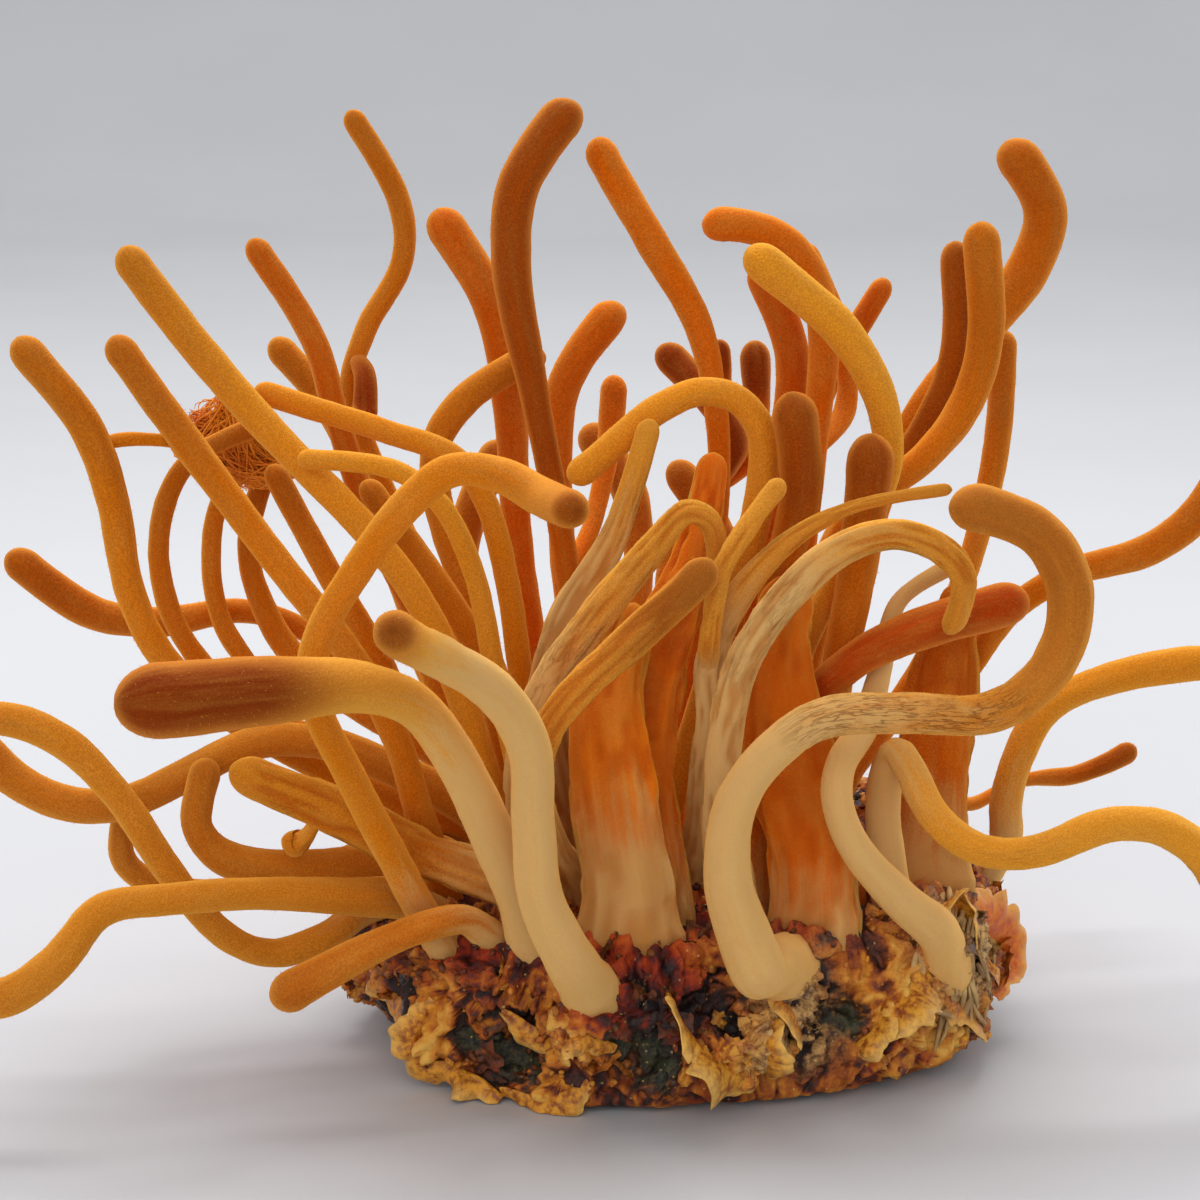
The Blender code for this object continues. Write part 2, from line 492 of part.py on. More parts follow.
class Line:
    """One stalk or twig while the bunch settles: its points, their half widths and half thicknesses."""

    def __init__(self, name, shape, owner=None):
        self.name, self.shape, self.owner = name, shape, owner
        knots = [world_point(*p) for p in shape.path]
        knots[-1] = knots[-1] + (knots[-1] - knots[-2]).normalized() * TIP_REACH
        self.points = smooth_line(knots)
        self.home = self.points.copy()
        self.flat = getattr(shape, "flat", 1.0)

    def shares(self):
        return np.linspace(0, 1, len(self.points))

    def length(self):
        return np.linalg.norm(np.diff(self.points, axis=0), axis=1).sum()

    def widths(self):
        return girth(self.shares(), self.length(), self.shape)

    def sides(self):
        return MANY_SIDES if max(self.shape.neck, self.shape.foot * 0.8) >= THICK_STALK else FEW_SIDES

    def balls(self):
        """Balls that fill the line: (index of its point, share of the sideways offset, its reach, radius)."""
        half = even_radius(np.maximum(self.widths() / 2, 0.3), self.sides())
        shares = (0.0,) if self.flat > 0.9 else (-1.0, -0.5, 0.0, 0.5, 1.0)
        return [(i, k, r * (1 - self.flat), r * self.flat) for i, r in enumerate(half) for k in shares]


def tangents(points):
    along = np.gradient(points, axis=0)
    return along / np.linalg.norm(along, axis=1)[:, None]


def across_directions(points, first=None):
    """A direction square to the line at each point, carried along it without twist. It starts level."""
    along = tangents(points)
    forward = np.array((0.0, 1.0, 0.0))
    now = np.cross(along[0], forward) if first is None else np.array(first, float)
    if np.linalg.norm(now) < 0.2:
        now = np.array((1.0, 0.0, 0.0))
    found = []
    for t in along:
        now = now - t * (now @ t)
        now = now / np.linalg.norm(now)
        found.append(now)
    return np.array(found)


def surface_below(block, point):
    """The block's nearest surface point and its outward normal, smoothed over a foot's width."""
    place, _, _, _ = block.find_nearest(Vector(point))
    normal = Vector((0, 0, 0))
    for near, facing, _, distance in block.find_nearest_range(place, FOOT_REACH):
        normal += facing / (1 + distance)
    return np.array(place), np.array(normal.normalized())


def outside(block, point, clear):
    """The point moved out of the block until it is that far from its surface."""
    place, facing, _, distance = block.find_nearest(Vector(point))
    height = (Vector(point) - place).dot(facing)
    signed = math.copysign(distance, height)
    if signed < clear:
        return np.array(place + facing * clear)
    return np.array(point)


def smoothed(moves):
    for _ in range(3):
        padded = np.concatenate([moves[:1], moves, moves[-1:]])
        moves = 0.25 * padded[:-2] + 0.5 * padded[1:-1] + 0.25 * padded[2:]
    return moves


def near_pairs(places, radii, owners):
    """Pairs of balls of different stalks that are close enough to meet soon."""
    first, second = [], []
    for start in range(0, len(places), BALLS_AT_ONCE):
        end = min(start + BALLS_AT_ONCE, len(places))
        apart = np.linalg.norm(places[start:end, None] - places[None], axis=2)
        reach = radii[start:end, None] + radii[None] + PAIR_REACH
        order = np.arange(start, end)[:, None] < np.arange(len(places))[None]
        a, b = np.nonzero((apart < reach) & order & (owners[start:end, None] != owners[None]))
        first.append(a + start)
        second.append(b)
    return np.concatenate(first), np.concatenate(second)


def settle(lines, block):
    """Moves the lines apart until each has its own room, mostly in depth, with their feet on the block."""
    starts = np.cumsum([0] + [len(line.points) for line in lines])
    balls = [(starts[k] + i, share, reach, r, k) for k, line in enumerate(lines)
             for i, share, reach, r in line.balls()]
    index = np.array([b[0] for b in balls])
    shifts = np.array([b[1] * b[2] for b in balls])
    radii = np.array([b[3] for b in balls])
    group = [k if line.owner is None else lines.index(line.owner) for k, line in enumerate(lines)]
    owners = np.array([group[b[4]] for b in balls])
    half = np.concatenate([np.maximum(line.widths() * line.flat ** 0.5 / 2, 0.5) for line in lines])
    count = np.concatenate([np.arange(len(line.points)) + (LOOSE_POINTS if line.owner else 0)
                            for line in lines])
    loose = (1 - (1 - SIDEWAYS) * np.clip(count / LOOSE_POINTS, 0, 1))[index]
    bias = np.array([line.home[:, 1].mean() for line in lines])
    points = np.concatenate([line.points for line in lines])
    home = points.copy()
    for turn in range(ROUNDS):
        if turn % PAIRS_EVERY == 0:
            sideways = np.concatenate([across_directions(points[a:b]) for a, b in zip(starts, starts[1:])])
            offsets = sideways[index] * shifts[:, None]
            a, b = near_pairs(points[index] + offsets, radii, owners)
        places = points[index] + offsets
        between = places[a] - places[b]
        apart = np.linalg.norm(between, axis=1)
        short = radii[a] + radii[b] + GAP - apart
        hit = short > 0
        way = between[hit] / np.maximum(apart[hit], 1e-6)[:, None]
        way[:, (0, 2)] *= np.maximum(loose[a[hit]], loose[b[hit]])[:, None]
        way[:, 1] += DEPTH_NUDGE * np.sign(bias[owners[a[hit]]] - bias[owners[b[hit]]] + 1e-6)
        way /= np.maximum(np.linalg.norm(way, axis=1), 1e-6)[:, None]
        push = way * (0.5 * short[hit])[:, None]
        moves = np.zeros_like(points)
        weight = np.zeros(len(points))
        for ends, sign in ((a[hit], 1), (b[hit], -1)):
            np.add.at(moves, index[ends], sign * push)
            np.add.at(weight, index[ends], 1)
        moves /= np.maximum(weight, 1)[:, None]
        if turn < ROUNDS - FREE_ROUNDS:
            moves += PULL_BACK * (home - points) * np.array((1.0, DEPTH_PULL, 1.0))
            moves[starts[:-1]] += FOOT_PULL * (home - points)[starts[:-1]]
        for k, line in enumerate(lines):
            part = slice(starts[k], starts[k + 1])
            points[part] += MOVE_SHARE * smoothed(moves[part])
            drift = points[part] - home[part]
            points[part] += STIFFNESS * (smoothed(drift) - drift)
            if line.owner is None:
                stand(points[part], min(LOWEST_FOOT, line.home[0][2]), block)
            else:
                root = lines.index(line.owner)
                stem = points[starts[root]:starts[root + 1]]
                near = np.linalg.norm(stem - points[part][0], axis=1).argmin()
                shift = stem[near] - points[part][0]
                fade = np.clip(1 - np.arange(len(points[part])) / TWIG_FADE, 0, 1)[:, None]
                points[part] += shift * fade
            if turn % 3 == 0 or turn > ROUNDS - LAST_ROUNDS:
                keep_clear(points[part], half[part], block, line.owner is None)
    for k, line in enumerate(lines):
        line.points = points[starts[k]:starts[k + 1]].copy()


def stand(points, lowest, block):
    """Sets a line's foot on the block's surface and its next points out along the surface's normal."""
    place, normal = surface_below(block, (points[0][0], points[0][1], max(points[0][2], lowest)))
    drop = place - points[0]
    fade = np.clip(1 - np.arange(len(points)) / FOOT_FADE, 0, 1)[:, None]
    points += drop * fade
    aim = points[3] - place
    aim = aim / np.linalg.norm(aim)
    lead = FOOT_UPRIGHT * normal + (1 - FOOT_UPRIGHT) * aim
    lead /= np.linalg.norm(lead)
    for i, turn in enumerate(FOOT_TURNS, 1):
        wanted = place + lead * STEP * i
        points[i] += (wanted - points[i]) * turn


def keep_clear(points, half, block, rooted):
    """Keeps a line out of the block and off the floor. A rooted line leaves the block gradually."""
    for i in range(1 if rooted else 0, len(points)):
        if points[i][2] < CLEAR_ABOVE + half[i]:
            clear = half[i] + GAP
            if rooted:
                clear = min(clear, FOOT_GAP + STEP * i)
            points[i] = outside(block, points[i], clear)
            points[i][2] = max(points[i][2], half[i] + FLOOR_GAP)


def foot_ring(line, block, sides, width):
    """The foot's ring, square to the block's surface and as near to it as its lumps allow."""
    place, normal = surface_below(block, line.points[0])
    up = Vector(normal)
    side = Vector(across_directions(line.points)[0])
    side = (side - up * side.dot(up)).normalized()
    other = up.cross(side)
    half = even_radius(width / 2, sides)
    circle = [
        Vector(place) + side * (half * math.cos(a)) + other * (half * line.flat * math.sin(a))
        for a in (2 * math.pi * i / sides for i in range(sides))
    ]
    lift = 0.0
    for spot in [*circle, *[(p + Vector(place)) / 2 for p in circle], Vector(place)]:
        struck, _, _, travel = block.ray_cast(spot + up * LOOK_FROM, -up)
        if struck is not None:
            lift = max(lift, LOOK_FROM - travel)
    lift += FOOT_GAP
    return [p + up * lift for p in circle], Vector(place) + up * lift


def body_rings(line, block):
    """The rings of a stalk or twig from its foot to its tip, and its tip."""
    length = line.length()
    shape = line.shape
    sides = line.sides()
    cap = TIP_LENGTH * shape.club
    run = np.linspace(0, length, len(line.points))
    along = tangents(line.points)
    wide = across_directions(line.points)
    course = tangents(smoothed(smoothed(line.points)))
    bend = np.arccos(np.clip((course[1:] * course[:-1]).sum(axis=1), -1, 1)) / RING_BEND
    need = np.concatenate([[0], np.cumsum(np.diff(run) / RING_SPACING + bend)])
    if line.owner is None:
        need += FOOT_RINGS * np.clip(run / FOOT_LENGTH, 0, 1)
    last = np.interp(length - cap, run, need)
    count = max(FEWEST_RINGS if line.owner is None else 3, round(last) + 1)
    places = [*np.interp(np.linspace(0, last, count), need, run), length - cap + cap * TIP_RING]
    rings = []
    for place in places:
        at = np.array([np.interp(place, run, line.points[:, k]) for k in range(3)])
        t = Vector([np.interp(place, run, along[:, k]) for k in range(3)]).normalized()
        w = Vector([np.interp(place, run, wide[:, k]) for k in range(3)])
        w = (w - t * w.dot(t)).normalized()
        n = t.cross(w)
        half = even_radius(float(girth(place / length, length, shape)) / 2, sides)
        rings.append([
            Vector(at) + w * (half * math.cos(a)) + n * (half * line.flat * math.sin(a))
            for a in (2 * math.pi * i / sides for i in range(sides))
        ])
    foot = None
    if line.owner is None:
        rings[0], foot = foot_ring(line, block, sides, shape.foot)
    return rings, Vector(line.points[-1]), foot


def join_twig(stalk, twig):
    """Joins a twig to its stalk for good, and removes the twig's own object."""
    union = stalk.modifiers.new("twig", "BOOLEAN")
    union.operation = "UNION"
    union.object = twig
    bpy.context.view_layer.update()
    graph = bpy.context.evaluated_depsgraph_get()
    joined = bpy.data.meshes.new_from_object(stalk.evaluated_get(graph))
    stalk.modifiers.clear()
    stalk.data = joined
    bpy.data.objects.remove(twig, do_unlink=True)


def main():
    clear_scene()
    bunch = bpy.data.collections.new("cordyceps_bunch")
    bpy.context.scene.collection.children.link(bunch)
    block = make_block()
    block.data.materials.append(make_material("substrate", *BLOCK_SHADE))
    bunch.objects.link(block)
    corners = [v.co / MM for v in block.data.vertices]
    surface = BVHTree.FromPolygons(corners, [tuple(p.vertices) for p in block.data.polygons])

    lines, shades = [], {}
    for group, (colour, roughness, stalks) in SHADES.items():
        material = make_material(group + "_stalk", colour, roughness)
        for name, shape in stalks.items():
            stem = Line(name, slimmed(shape, SLIMNESS[group]))
            lines.append(stem)
            shades[name] = material
            lines.extend(Line(name, slimmed(twig, SLIMNESS[group]), stem) for twig in shape.twigs)
    settle(lines, surface)

    stalks = {}
    for line in lines:
        rings, tip, foot = body_rings(line, surface)
        obj = loft(line.name, rings, tip, foot)
        bunch.objects.link(obj)
        if line.owner is None:
            obj.data.materials.append(shades[line.name])
            stalks[line.name] = obj
        else:
            join_twig(stalks[line.name], obj)


main()
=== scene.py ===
"""The look of the cordyceps bunch: velvety stalks and a crusty block, laid over the CAD frame's solids.

Each stalk's middle line and thickness are read from its solid in the frame, ring by ring. A fine skin is laid
along that line, and the block's solid is given a crust. Everything stands in the part's frame, in metres.
"""

import json
import math
from collections import namedtuple

import bpy
import numpy as np
from bpy.props import EnumProperty, FloatProperty, FloatVectorProperty, IntProperty, PointerProperty
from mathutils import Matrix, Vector, noise
from mathutils.bvhtree import BVHTree

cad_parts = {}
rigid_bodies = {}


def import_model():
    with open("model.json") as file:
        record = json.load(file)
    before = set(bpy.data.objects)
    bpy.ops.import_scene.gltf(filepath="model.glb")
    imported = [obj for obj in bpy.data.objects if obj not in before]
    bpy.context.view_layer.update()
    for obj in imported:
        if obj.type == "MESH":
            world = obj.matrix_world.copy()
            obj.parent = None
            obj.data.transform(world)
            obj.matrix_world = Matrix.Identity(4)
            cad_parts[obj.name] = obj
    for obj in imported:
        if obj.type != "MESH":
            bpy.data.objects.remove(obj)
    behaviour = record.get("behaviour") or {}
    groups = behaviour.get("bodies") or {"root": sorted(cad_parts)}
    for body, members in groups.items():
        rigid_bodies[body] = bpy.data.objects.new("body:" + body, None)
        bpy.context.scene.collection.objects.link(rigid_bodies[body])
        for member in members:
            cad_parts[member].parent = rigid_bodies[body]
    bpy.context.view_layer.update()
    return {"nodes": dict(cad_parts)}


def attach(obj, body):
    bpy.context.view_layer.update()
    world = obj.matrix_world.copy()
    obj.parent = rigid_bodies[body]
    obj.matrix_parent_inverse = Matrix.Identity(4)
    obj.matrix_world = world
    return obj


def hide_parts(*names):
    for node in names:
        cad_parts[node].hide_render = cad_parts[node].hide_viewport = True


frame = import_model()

bl_info = {
    "name": "Cordyceps Bunch",
    "version": (1, 0, 0),
    "blender": (4, 5, 0),
    "location": "3D View > Sidebar > Cordyceps",
    "description": "Builds a bunch of velvety club fungus on a crusty block of substrate",
    "category": "Add Mesh",
}

# Lengths in this script are millimetres unless a name says otherwise
MM = 0.001

# The photograph's view: a square window round the bunch's middle, seen from in front and above
WINDOW = 120.0
EYE_DISTANCE = 300.0
EYE_TILT = math.radians(12.0)
WINDOW_MIDDLE = Vector((-6.5, 0.0, 43.5))
SENSOR_WIDTH = 36.0
LENS = SENSOR_WIDTH * EYE_DISTANCE / WINDOW

# How long a stalk's round cap is, as a share of its club's width, and how many rows of points it has
CAP_SHARE, CAP_ROWS = 0.62, 8
# The two numbers of sides that the solids' stalks have
SOLID_SIDES = (6, 8)
# How deep a skin's foot is sunk into the crust and how low it may end, and how it widens towards its foot
SINK = 5.5
LOWEST_FOOT = 5.0
FLARE, FLARE_FADE = 0.16, 1.5
# How much thinner a twig is where it starts in its stem's middle, and how soon it is as thick as its solid
TWIG_TAPER, TWIG_TAPER_FADE = 0.6, 1.2
# How cream the skin is where its look's cream ends, and how fast it fades along a stem and along a twig
CREAM_END, CREAM_FADE, TWIG_CREAM_FADE = 0.52, 2.4, 1.2
# How far below its look's place a club starts to darken, over how much of the stalk, and how strongly
CLUB_LEAD, CLUB_FADE, CLUB_STRENGTH = 0.18, 0.30, 0.9
# How dark and how red a red twig is, and how much the stalks differ in how red they are
RED_TWIG_CLUB, RED_TWIG_TONE, TONE_SPREAD = 0.75, 1.5, 0.25
# The mean radius from which on a skin has its full furrows, how far below the tip they fade, and their least
FURROWED_FROM, FURROW_FADE, LEAST_FURROW = 2.4, 0.15, 0.15
# How far up its stalk the skin is most wrinkled, and how far up and down the wrinkles reach
WRINKLED_AT, WRINKLE_REACH = 0.55, 0.13
# How far apart the stalks, and the twigs of one stalk, lie in the space of the skin's patterns
STALK_APART, TWIG_APART = 37.0, 11.0
# The width that a stalk needs for all its sides, and the share of them that a thinner one has
THICK, THIN_SIDES = 3.4, 0.75
# How far back along its first two rings a twig's root is looked for, how fine the stem's line is there, and
# the gap between the new rings where a stem's own can't be read
ROOT_LEAD, STEM_STEP, BRIDGE_GAP = 0.6, 0.8, 5.0
# How high above the floor the crumbs and scales start
LOWEST_CRUMB = 2.4
# The mound of crust round each foot: how far past the foot it reaches and how high it is in the crust's folds
MOUND_REACH, MOUND = 1.3, 0.34

# A stalk's look: how far up it is cream, about where its club is dark and how dark it gets, how red
# or yellow it is, how deep its furrows are and how wrinkled its skin is
Look = namedtuple("Look", "cream club dark tone furrow wrinkle", defaults=(0.1, 0.7, 0.6, 0.0, 0.05, 0.0))
FAMILY_LOOKS = {
    "front": Look(0.50, 0.85, 0.5, 0.0, 0.12, 0.2),
    "centre": Look(0.20, 0.95, 0.3, 0.0, 0.9, 0.1),
    "right": Look(0.06, 0.72, 0.50, 0.0, 0.06, 0.0),
    "crown": Look(-0.05, 0.72, 0.30, 0.25, 0.05, 0.0),
    "left": Look(0.0, 0.78, 0.50, 0.0, 0.06, 0.0),
    "low": Look(0.12, 0.85, 0.45, -0.1, 0.10, 0.1),
    "back": Look(0.0, 0.70, 0.60, 0.0, 0.06, 0.0),
}
LOOKS = {
    "front_hook": Look(0.54, 0.72, 0.58, 0.25, 0.10, 1.0),
    # front_near_club's club is darker than its own brown: partly its own colour, partly painted shade on its
    # body below its lit top edge
    "front_near_club": Look(0.50, 0.84, 2.0, -0.1, 0.05, 0.1),
    "front_pointing": Look(0.80, 0.93, 1.0, 0.0, 0.06, 0.1),
    "front_lean_right": Look(1.0, 1.2, 0.2, 0.0, 0.10, 0.1),
    "front_trailing": Look(0.34, 0.95, 0.5, -0.3, 0.10, 0.3),
    "front_red_club": Look(-0.1, 0.45, 0.35, 1.0, 0.14, 0.1),
    "front_furrowed_tip": Look(0.62, 0.97, 0.3, -0.2, 0.7, 0.3),
    "front_furrowed_arch": Look(0.70, 0.95, 0.3, -0.1, 0.7, 0.4),
    "front_pale_fan": Look(0.80, 1.1, 0.2, -0.3, 0.6, 0.3),
    "front_furrowed_left": Look(0.62, 0.98, 0.3, -0.1, 0.7, 0.4),
    "front_brown_tip": Look(0.40, 0.80, 0.7, 0.0, 0.5, 0.3),
    "centre_pale_column": Look(0.44, 1.1, 0.2, -0.1, 0.9, 0.1),
    "right_pale_column": Look(0.34, 1.1, 0.2, 0.1, 0.95, 0.3),
    "right_tall_back": Look(0.0, 0.60, 0.75, 0.0, 0.06, 0.0),
    "right_big_club": Look(0.0, 0.80, 0.55, 0.0, 0.06, 0.0),
    "right_level": Look(0.25, 0.85, 0.3, -0.4, 0.10, 0.1),
    "right_thin_knob": Look(0.05, 0.75, 0.7, 0.4, 0.04, 0.0),
    "right_ball_tip": Look(0.15, 0.80, 0.8, 0.1, 0.05, 0.0),
    # crown_tall's club starts low and gets very dark: painted shade on its stem, which stands in front and is
    # not lit from behind
    "crown_tall": Look(-0.05, 0.45, 0.80, -0.1, 0.05, 0.0),
    "crown_golden": Look(0.0, 0.98, 0.2, -0.7, 0.05, 0.0),
    "crown_thick_brown": Look(0.10, 0.72, 0.80, 0.0, 0.05, 0.0),
    "crown_far_dark": Look(-0.1, 0.60, 0.9, 0.5, 0.04, 0.0),
    "crown_arch": Look(0.05, 0.98, 0.2, -0.7, 0.10, 0.2),
    "left_long": Look(0.0, 0.85, 0.50, -0.4, 0.06, 0.0),
    "left_orange": Look(0.0, 0.85, 0.30, 0.3, 0.06, 0.0),
    "left_level_upper": Look(0.0, 0.98, 0.2, -0.3, 0.10, 0.1),
    "left_near_bridge": Look(0.12, 0.93, 1.0, -0.2, 0.06, 0.1),
    "left_low_club": Look(0.05, 0.80, 0.6, 0.2, 0.05, 0.0),
    "left_level_lower": Look(0.15, 0.98, 0.2, -0.6, 0.10, 0.1),
    "low_broken": Look(0.35, 0.98, 0.2, -0.3, 0.6, 0.4),
    "low_blunt": Look(0.30, 0.80, 0.4, 0.1, 0.14, 0.2),
}
# Stalks whose side twig is a dark red club
RED_TWIGS = ("left_question",)
FAMILIES = tuple(FAMILY_LOOKS)


def rgb(*screen):
    """A colour given as it looks on a screen, 0 to 255, in the shader's linear light."""
    return tuple(((v / 255 + 0.055) / 1.055) ** 2.4 if v > 10 else v / 255 / 12.92 for v in screen)


CREAM = rgb(213, 169, 105)
TAN = rgb(222, 154, 62)
FLESH = {
    "front": rgb(226, 150, 50), "centre": rgb(222, 112, 8), "right": rgb(226, 118, 6),
    "crown": rgb(232, 112, 2), "left": rgb(224, 128, 14), "low": rgb(212, 126, 30), "back": rgb(208, 106, 4),
}
FUZZ = {
    "front": rgb(238, 176, 96), "centre": rgb(246, 160, 50), "right": rgb(240, 140, 28),
    "crown": rgb(240, 130, 16), "left": rgb(240, 146, 34), "low": rgb(236, 154, 58),
    "back": rgb(240, 140, 28),
}
# Painted sheen: what is screened onto a stalk's own colour where it is seen edge on, standing in for the
# light that the soft nap catches at its rim
PAINTED_RIM_SHEEN = (0.50, 0.17, 0.02)
# The darkest colour of a club, and the colours that redder and yellower flesh tends to
CLUB_BROWN = rgb(134, 52, 0)
RED_SHADE = rgb(196, 66, 0)
YELLOW_SHADE = rgb(238, 158, 38)
# What the skin's colour is multiplied by in its furrows and in its cracks, both as painted shade, and in its
# specks, and what the crust's maroon patches multiply their colour by
GROOVE_PAINTED_SHADE, SPECKLE_SHADE, CRACK_PAINTED_SHADE = rgb(218, 168, 108), rgb(186, 160, 130), rgb(178, 128, 84)
MAROON_SHADE = rgb(214, 126, 56)
# The two colours of the web's threads, and the two of the dry fibres on the crust
THREAD, THREAD_SHADE = rgb(240, 152, 18), rgb(224, 124, 4)
DRY, DRY_SHADE = rgb(206, 172, 112), rgb(150, 116, 70)
# The crust's colours from the bottom of its pits to the top of its ridges, each with its height
CRUST_COLOURS = (
    (0.0, rgb(20, 7, 3)), (0.26, rgb(54, 15, 3)), (0.42, rgb(112, 40, 5)), (0.56, rgb(178, 92, 12)),
    (0.72, rgb(214, 138, 32)), (0.95, rgb(238, 184, 84)),
)


# How a tree's nodes are laid out in the editor
COLUMNS, COLUMN_WIDTH, ROW_HEIGHT = 14, 190, 260


class Tree:
    """A node tree that is filled one node at a time. A value is a number, a colour or a node's output."""

    def __init__(self, tree):
        self.tree = tree
        self.made = 0

    def put(self, socket, value):
        """Links a node's output to a socket, or sets the socket to a value."""
        if isinstance(value, bpy.types.NodeSocket):
            self.tree.links.new(value, socket)
        else:
            socket.default_value = value

    def add(self, kind, values=(), **settings):
        """A new node with its settings, and its inputs filled by name or number."""
        node = self.tree.nodes.new(kind)
        node.location = (COLUMN_WIDTH * (self.made % COLUMNS), -ROW_HEIGHT * (self.made // COLUMNS))
        self.made += 1
        for name, setting in settings.items():
            setattr(node, name, setting)
        for name, value in dict(values).items():
            self.put(node.inputs[name], value)
        return node

    def math(self, operation, first, second=0.0, third=0.0):
        """The result of one calculation with up to three values."""
        values = {0: first, 1: second, 2: third}
        return self.add("ShaderNodeMath", values, operation=operation).outputs[0]

    def vector(self, operation, first, second):
        """Two vectors put together, or for SCALE a vector and a number."""
        values = {0: first, "Scale" if operation == "SCALE" else 1: second}
        return self.add("ShaderNodeVectorMath", values, operation=operation).outputs[0]

    def spread(self, value, low, high, to_low=0.0, to_high=1.0):
        """The value moved from one range to another and held inside it, with soft ends."""
        made = self.add(
            "ShaderNodeMapRange",
            {"Value": value, "From Min": low, "From Max": high, "To Min": to_low, "To Max": to_high},
            interpolation_type="SMOOTHSTEP",
        )
        return made.outputs["Result"]

    def crease(self, value, width):
        """1 where a value is a half, and 0 where it is a width or more away from that."""
        return self.spread(self.math("ABSOLUTE", self.math("SUBTRACT", value, 0.5)), width, 0.0)

    def blend(self, factor, first, second, mode="MIX"):
        """Two colours mixed: the first one where the factor is 0, and the second where it is 1."""
        made = self.add("ShaderNodeMix", data_type="RGBA", blend_type=mode)
        self.put(made.inputs[0], factor)
        for place, value in ((6, first), (7, second)):
            self.put(made.inputs[place], (*value[:3], 1.0) if isinstance(value, tuple) else value)
        return made.outputs[2]

    def shade(self, colour, other):
        """A colour multiplied by another."""
        return self.blend(1.0, colour, other, "MULTIPLY")

    def noise(self, place, scale, detail=2.0, rough=0.5, output=0):
        """Cloudy noise at a place."""
        values = {"Vector": place, "Scale": scale, "Detail": detail, "Roughness": rough}
        return self.add("ShaderNodeTexNoise", values).outputs[output]

    def wander(self, place, scale, detail, rough=0.5):
        """A vector that wanders up to a half each way."""
        return self.vector("ADD", self.noise(place, scale, detail, rough, "Color"), (-0.5, -0.5, -0.5))

    def cells(self, place, scale, feature="F1"):
        """How far a place is from the middle or the edge of its cell."""
        values = {"Vector": place, "Scale": scale}
        return self.add("ShaderNodeTexVoronoi", values, feature=feature).outputs["Distance"]

    def stretch(self, place, amounts):
        """A place with each of its coordinates scaled by its own amount."""
        return self.vector("MULTIPLY", place, amounts)

    def group(self, tree, values):
        """A node that runs a whole shader group."""
        return self.add("ShaderNodeGroup", values, node_tree=tree)

    def keep(self, geometry, name, value, kind="FLOAT", domain="POINT"):
        """The geometry with a value stored on it by name."""
        values = {"Geometry": geometry, "Name": name, "Value": value}
        made = self.add("GeometryNodeStoreNamedAttribute", values, data_type=kind, domain=domain)
        return made.outputs[0]

    def push_out(self, geometry, height):
        """The geometry moved along its normals."""
        normal = self.add("GeometryNodeInputNormal").outputs[0]
        values = {"Geometry": geometry, "Offset": self.vector("SCALE", normal, height)}
        return self.add("GeometryNodeSetPosition", values).outputs[0]

    def finish(self, geometry, given, out):
        """Gives a geometry tree's result its material and hands it out."""
        values = {"Geometry": geometry, "Material": given["Material"]}
        self.put(out["Geometry"], self.add("GeometryNodeSetMaterial", values).outputs[0])
        return self.tree


def new_group(name, kind, inputs, outputs):
    """An empty node group and its sockets: the tree, its input node's outputs and its output's inputs."""
    tree = bpy.data.node_groups.new(name, kind)
    for way, sockets in (("INPUT", inputs), ("OUTPUT", outputs)):
        for label, socket_kind, *rest in sockets:
            socket = tree.interface.new_socket(label, in_out=way, socket_type=socket_kind)
            if rest:
                socket.default_value = rest[0]
    build = Tree(tree)
    start, end = build.add("NodeGroupInput"), build.add("NodeGroupOutput")
    return build, start.outputs, end.inputs


VALUE, COLOUR, PLACE = "NodeSocketFloat", "NodeSocketColor", "NodeSocketVector"


def skin_colour_group():
    """Flesh that is cream at the foot and darker on the club, mottled, with painted shade deeper in its
    furrows.
    """
    t, given, out = new_group(
        "Stalk colour", "ShaderNodeTree",
        [("Place", PLACE), ("Flesh", COLOUR), ("Cream", COLOUR), ("Brown", COLOUR), ("Paleness", VALUE),
         ("Club", VALUE), ("Tone", VALUE), ("Groove", VALUE), ("Speckle", VALUE, 0.45)],
        [("Color", COLOUR)],
    )
    mottle = t.noise(t.stretch(given["Place"], (1, 1, 0.35)), 0.55, 3, 0.6)
    streak = t.noise(t.stretch(given["Place"], (1, 1, 0.06)), 1.5, 3, 0.6)
    red = t.spread(given["Tone"], 0.0, 1.0)
    yellow = t.spread(given["Tone"], 0.0, -1.0)
    flesh = t.blend(red, given["Flesh"], RED_SHADE)
    flesh = t.blend(yellow, flesh, YELLOW_SHADE)
    flesh = t.blend(t.spread(mottle, 0.35, 0.75, 0.0, 0.35), flesh, TAN)
    wander = t.math("MULTIPLY_ADD", mottle, 0.5, t.math("MULTIPLY_ADD", streak, 0.7, -0.6))
    cream = t.spread(t.math("ADD", given["Paleness"], wander), 0.2, 0.85)
    colour = t.blend(cream, flesh, given["Cream"])
    club = t.spread(t.math("ADD", given["Club"], t.math("MULTIPLY_ADD", streak, 0.4, -0.2)), 0.0, 1.0)
    colour = t.blend(club, colour, given["Brown"])
    colour = t.blend(t.spread(streak, 0.4, 0.8, 0.0, 0.2), colour, TAN)
    # Painted shade in the furrows, valleys and folds: the colour is darkened where the relief lies deepest
    groove = t.spread(given["Groove"], 0.0, 1.0, 0.0, 0.62)
    colour = t.blend(groove, colour, t.shade(colour, GROOVE_PAINTED_SHADE))
    grain = t.spread(t.noise(given["Place"], 6.0, 2, 0.6), 0.66, 0.36)
    grain = t.math("MULTIPLY", grain, t.spread(cream, 0.0, 1.0, 1.0, 0.2))
    colour = t.blend(t.math("MULTIPLY", grain, given["Speckle"]), colour, t.shade(colour, SPECKLE_SHADE))
    t.put(out["Color"], colour)
    return t.tree


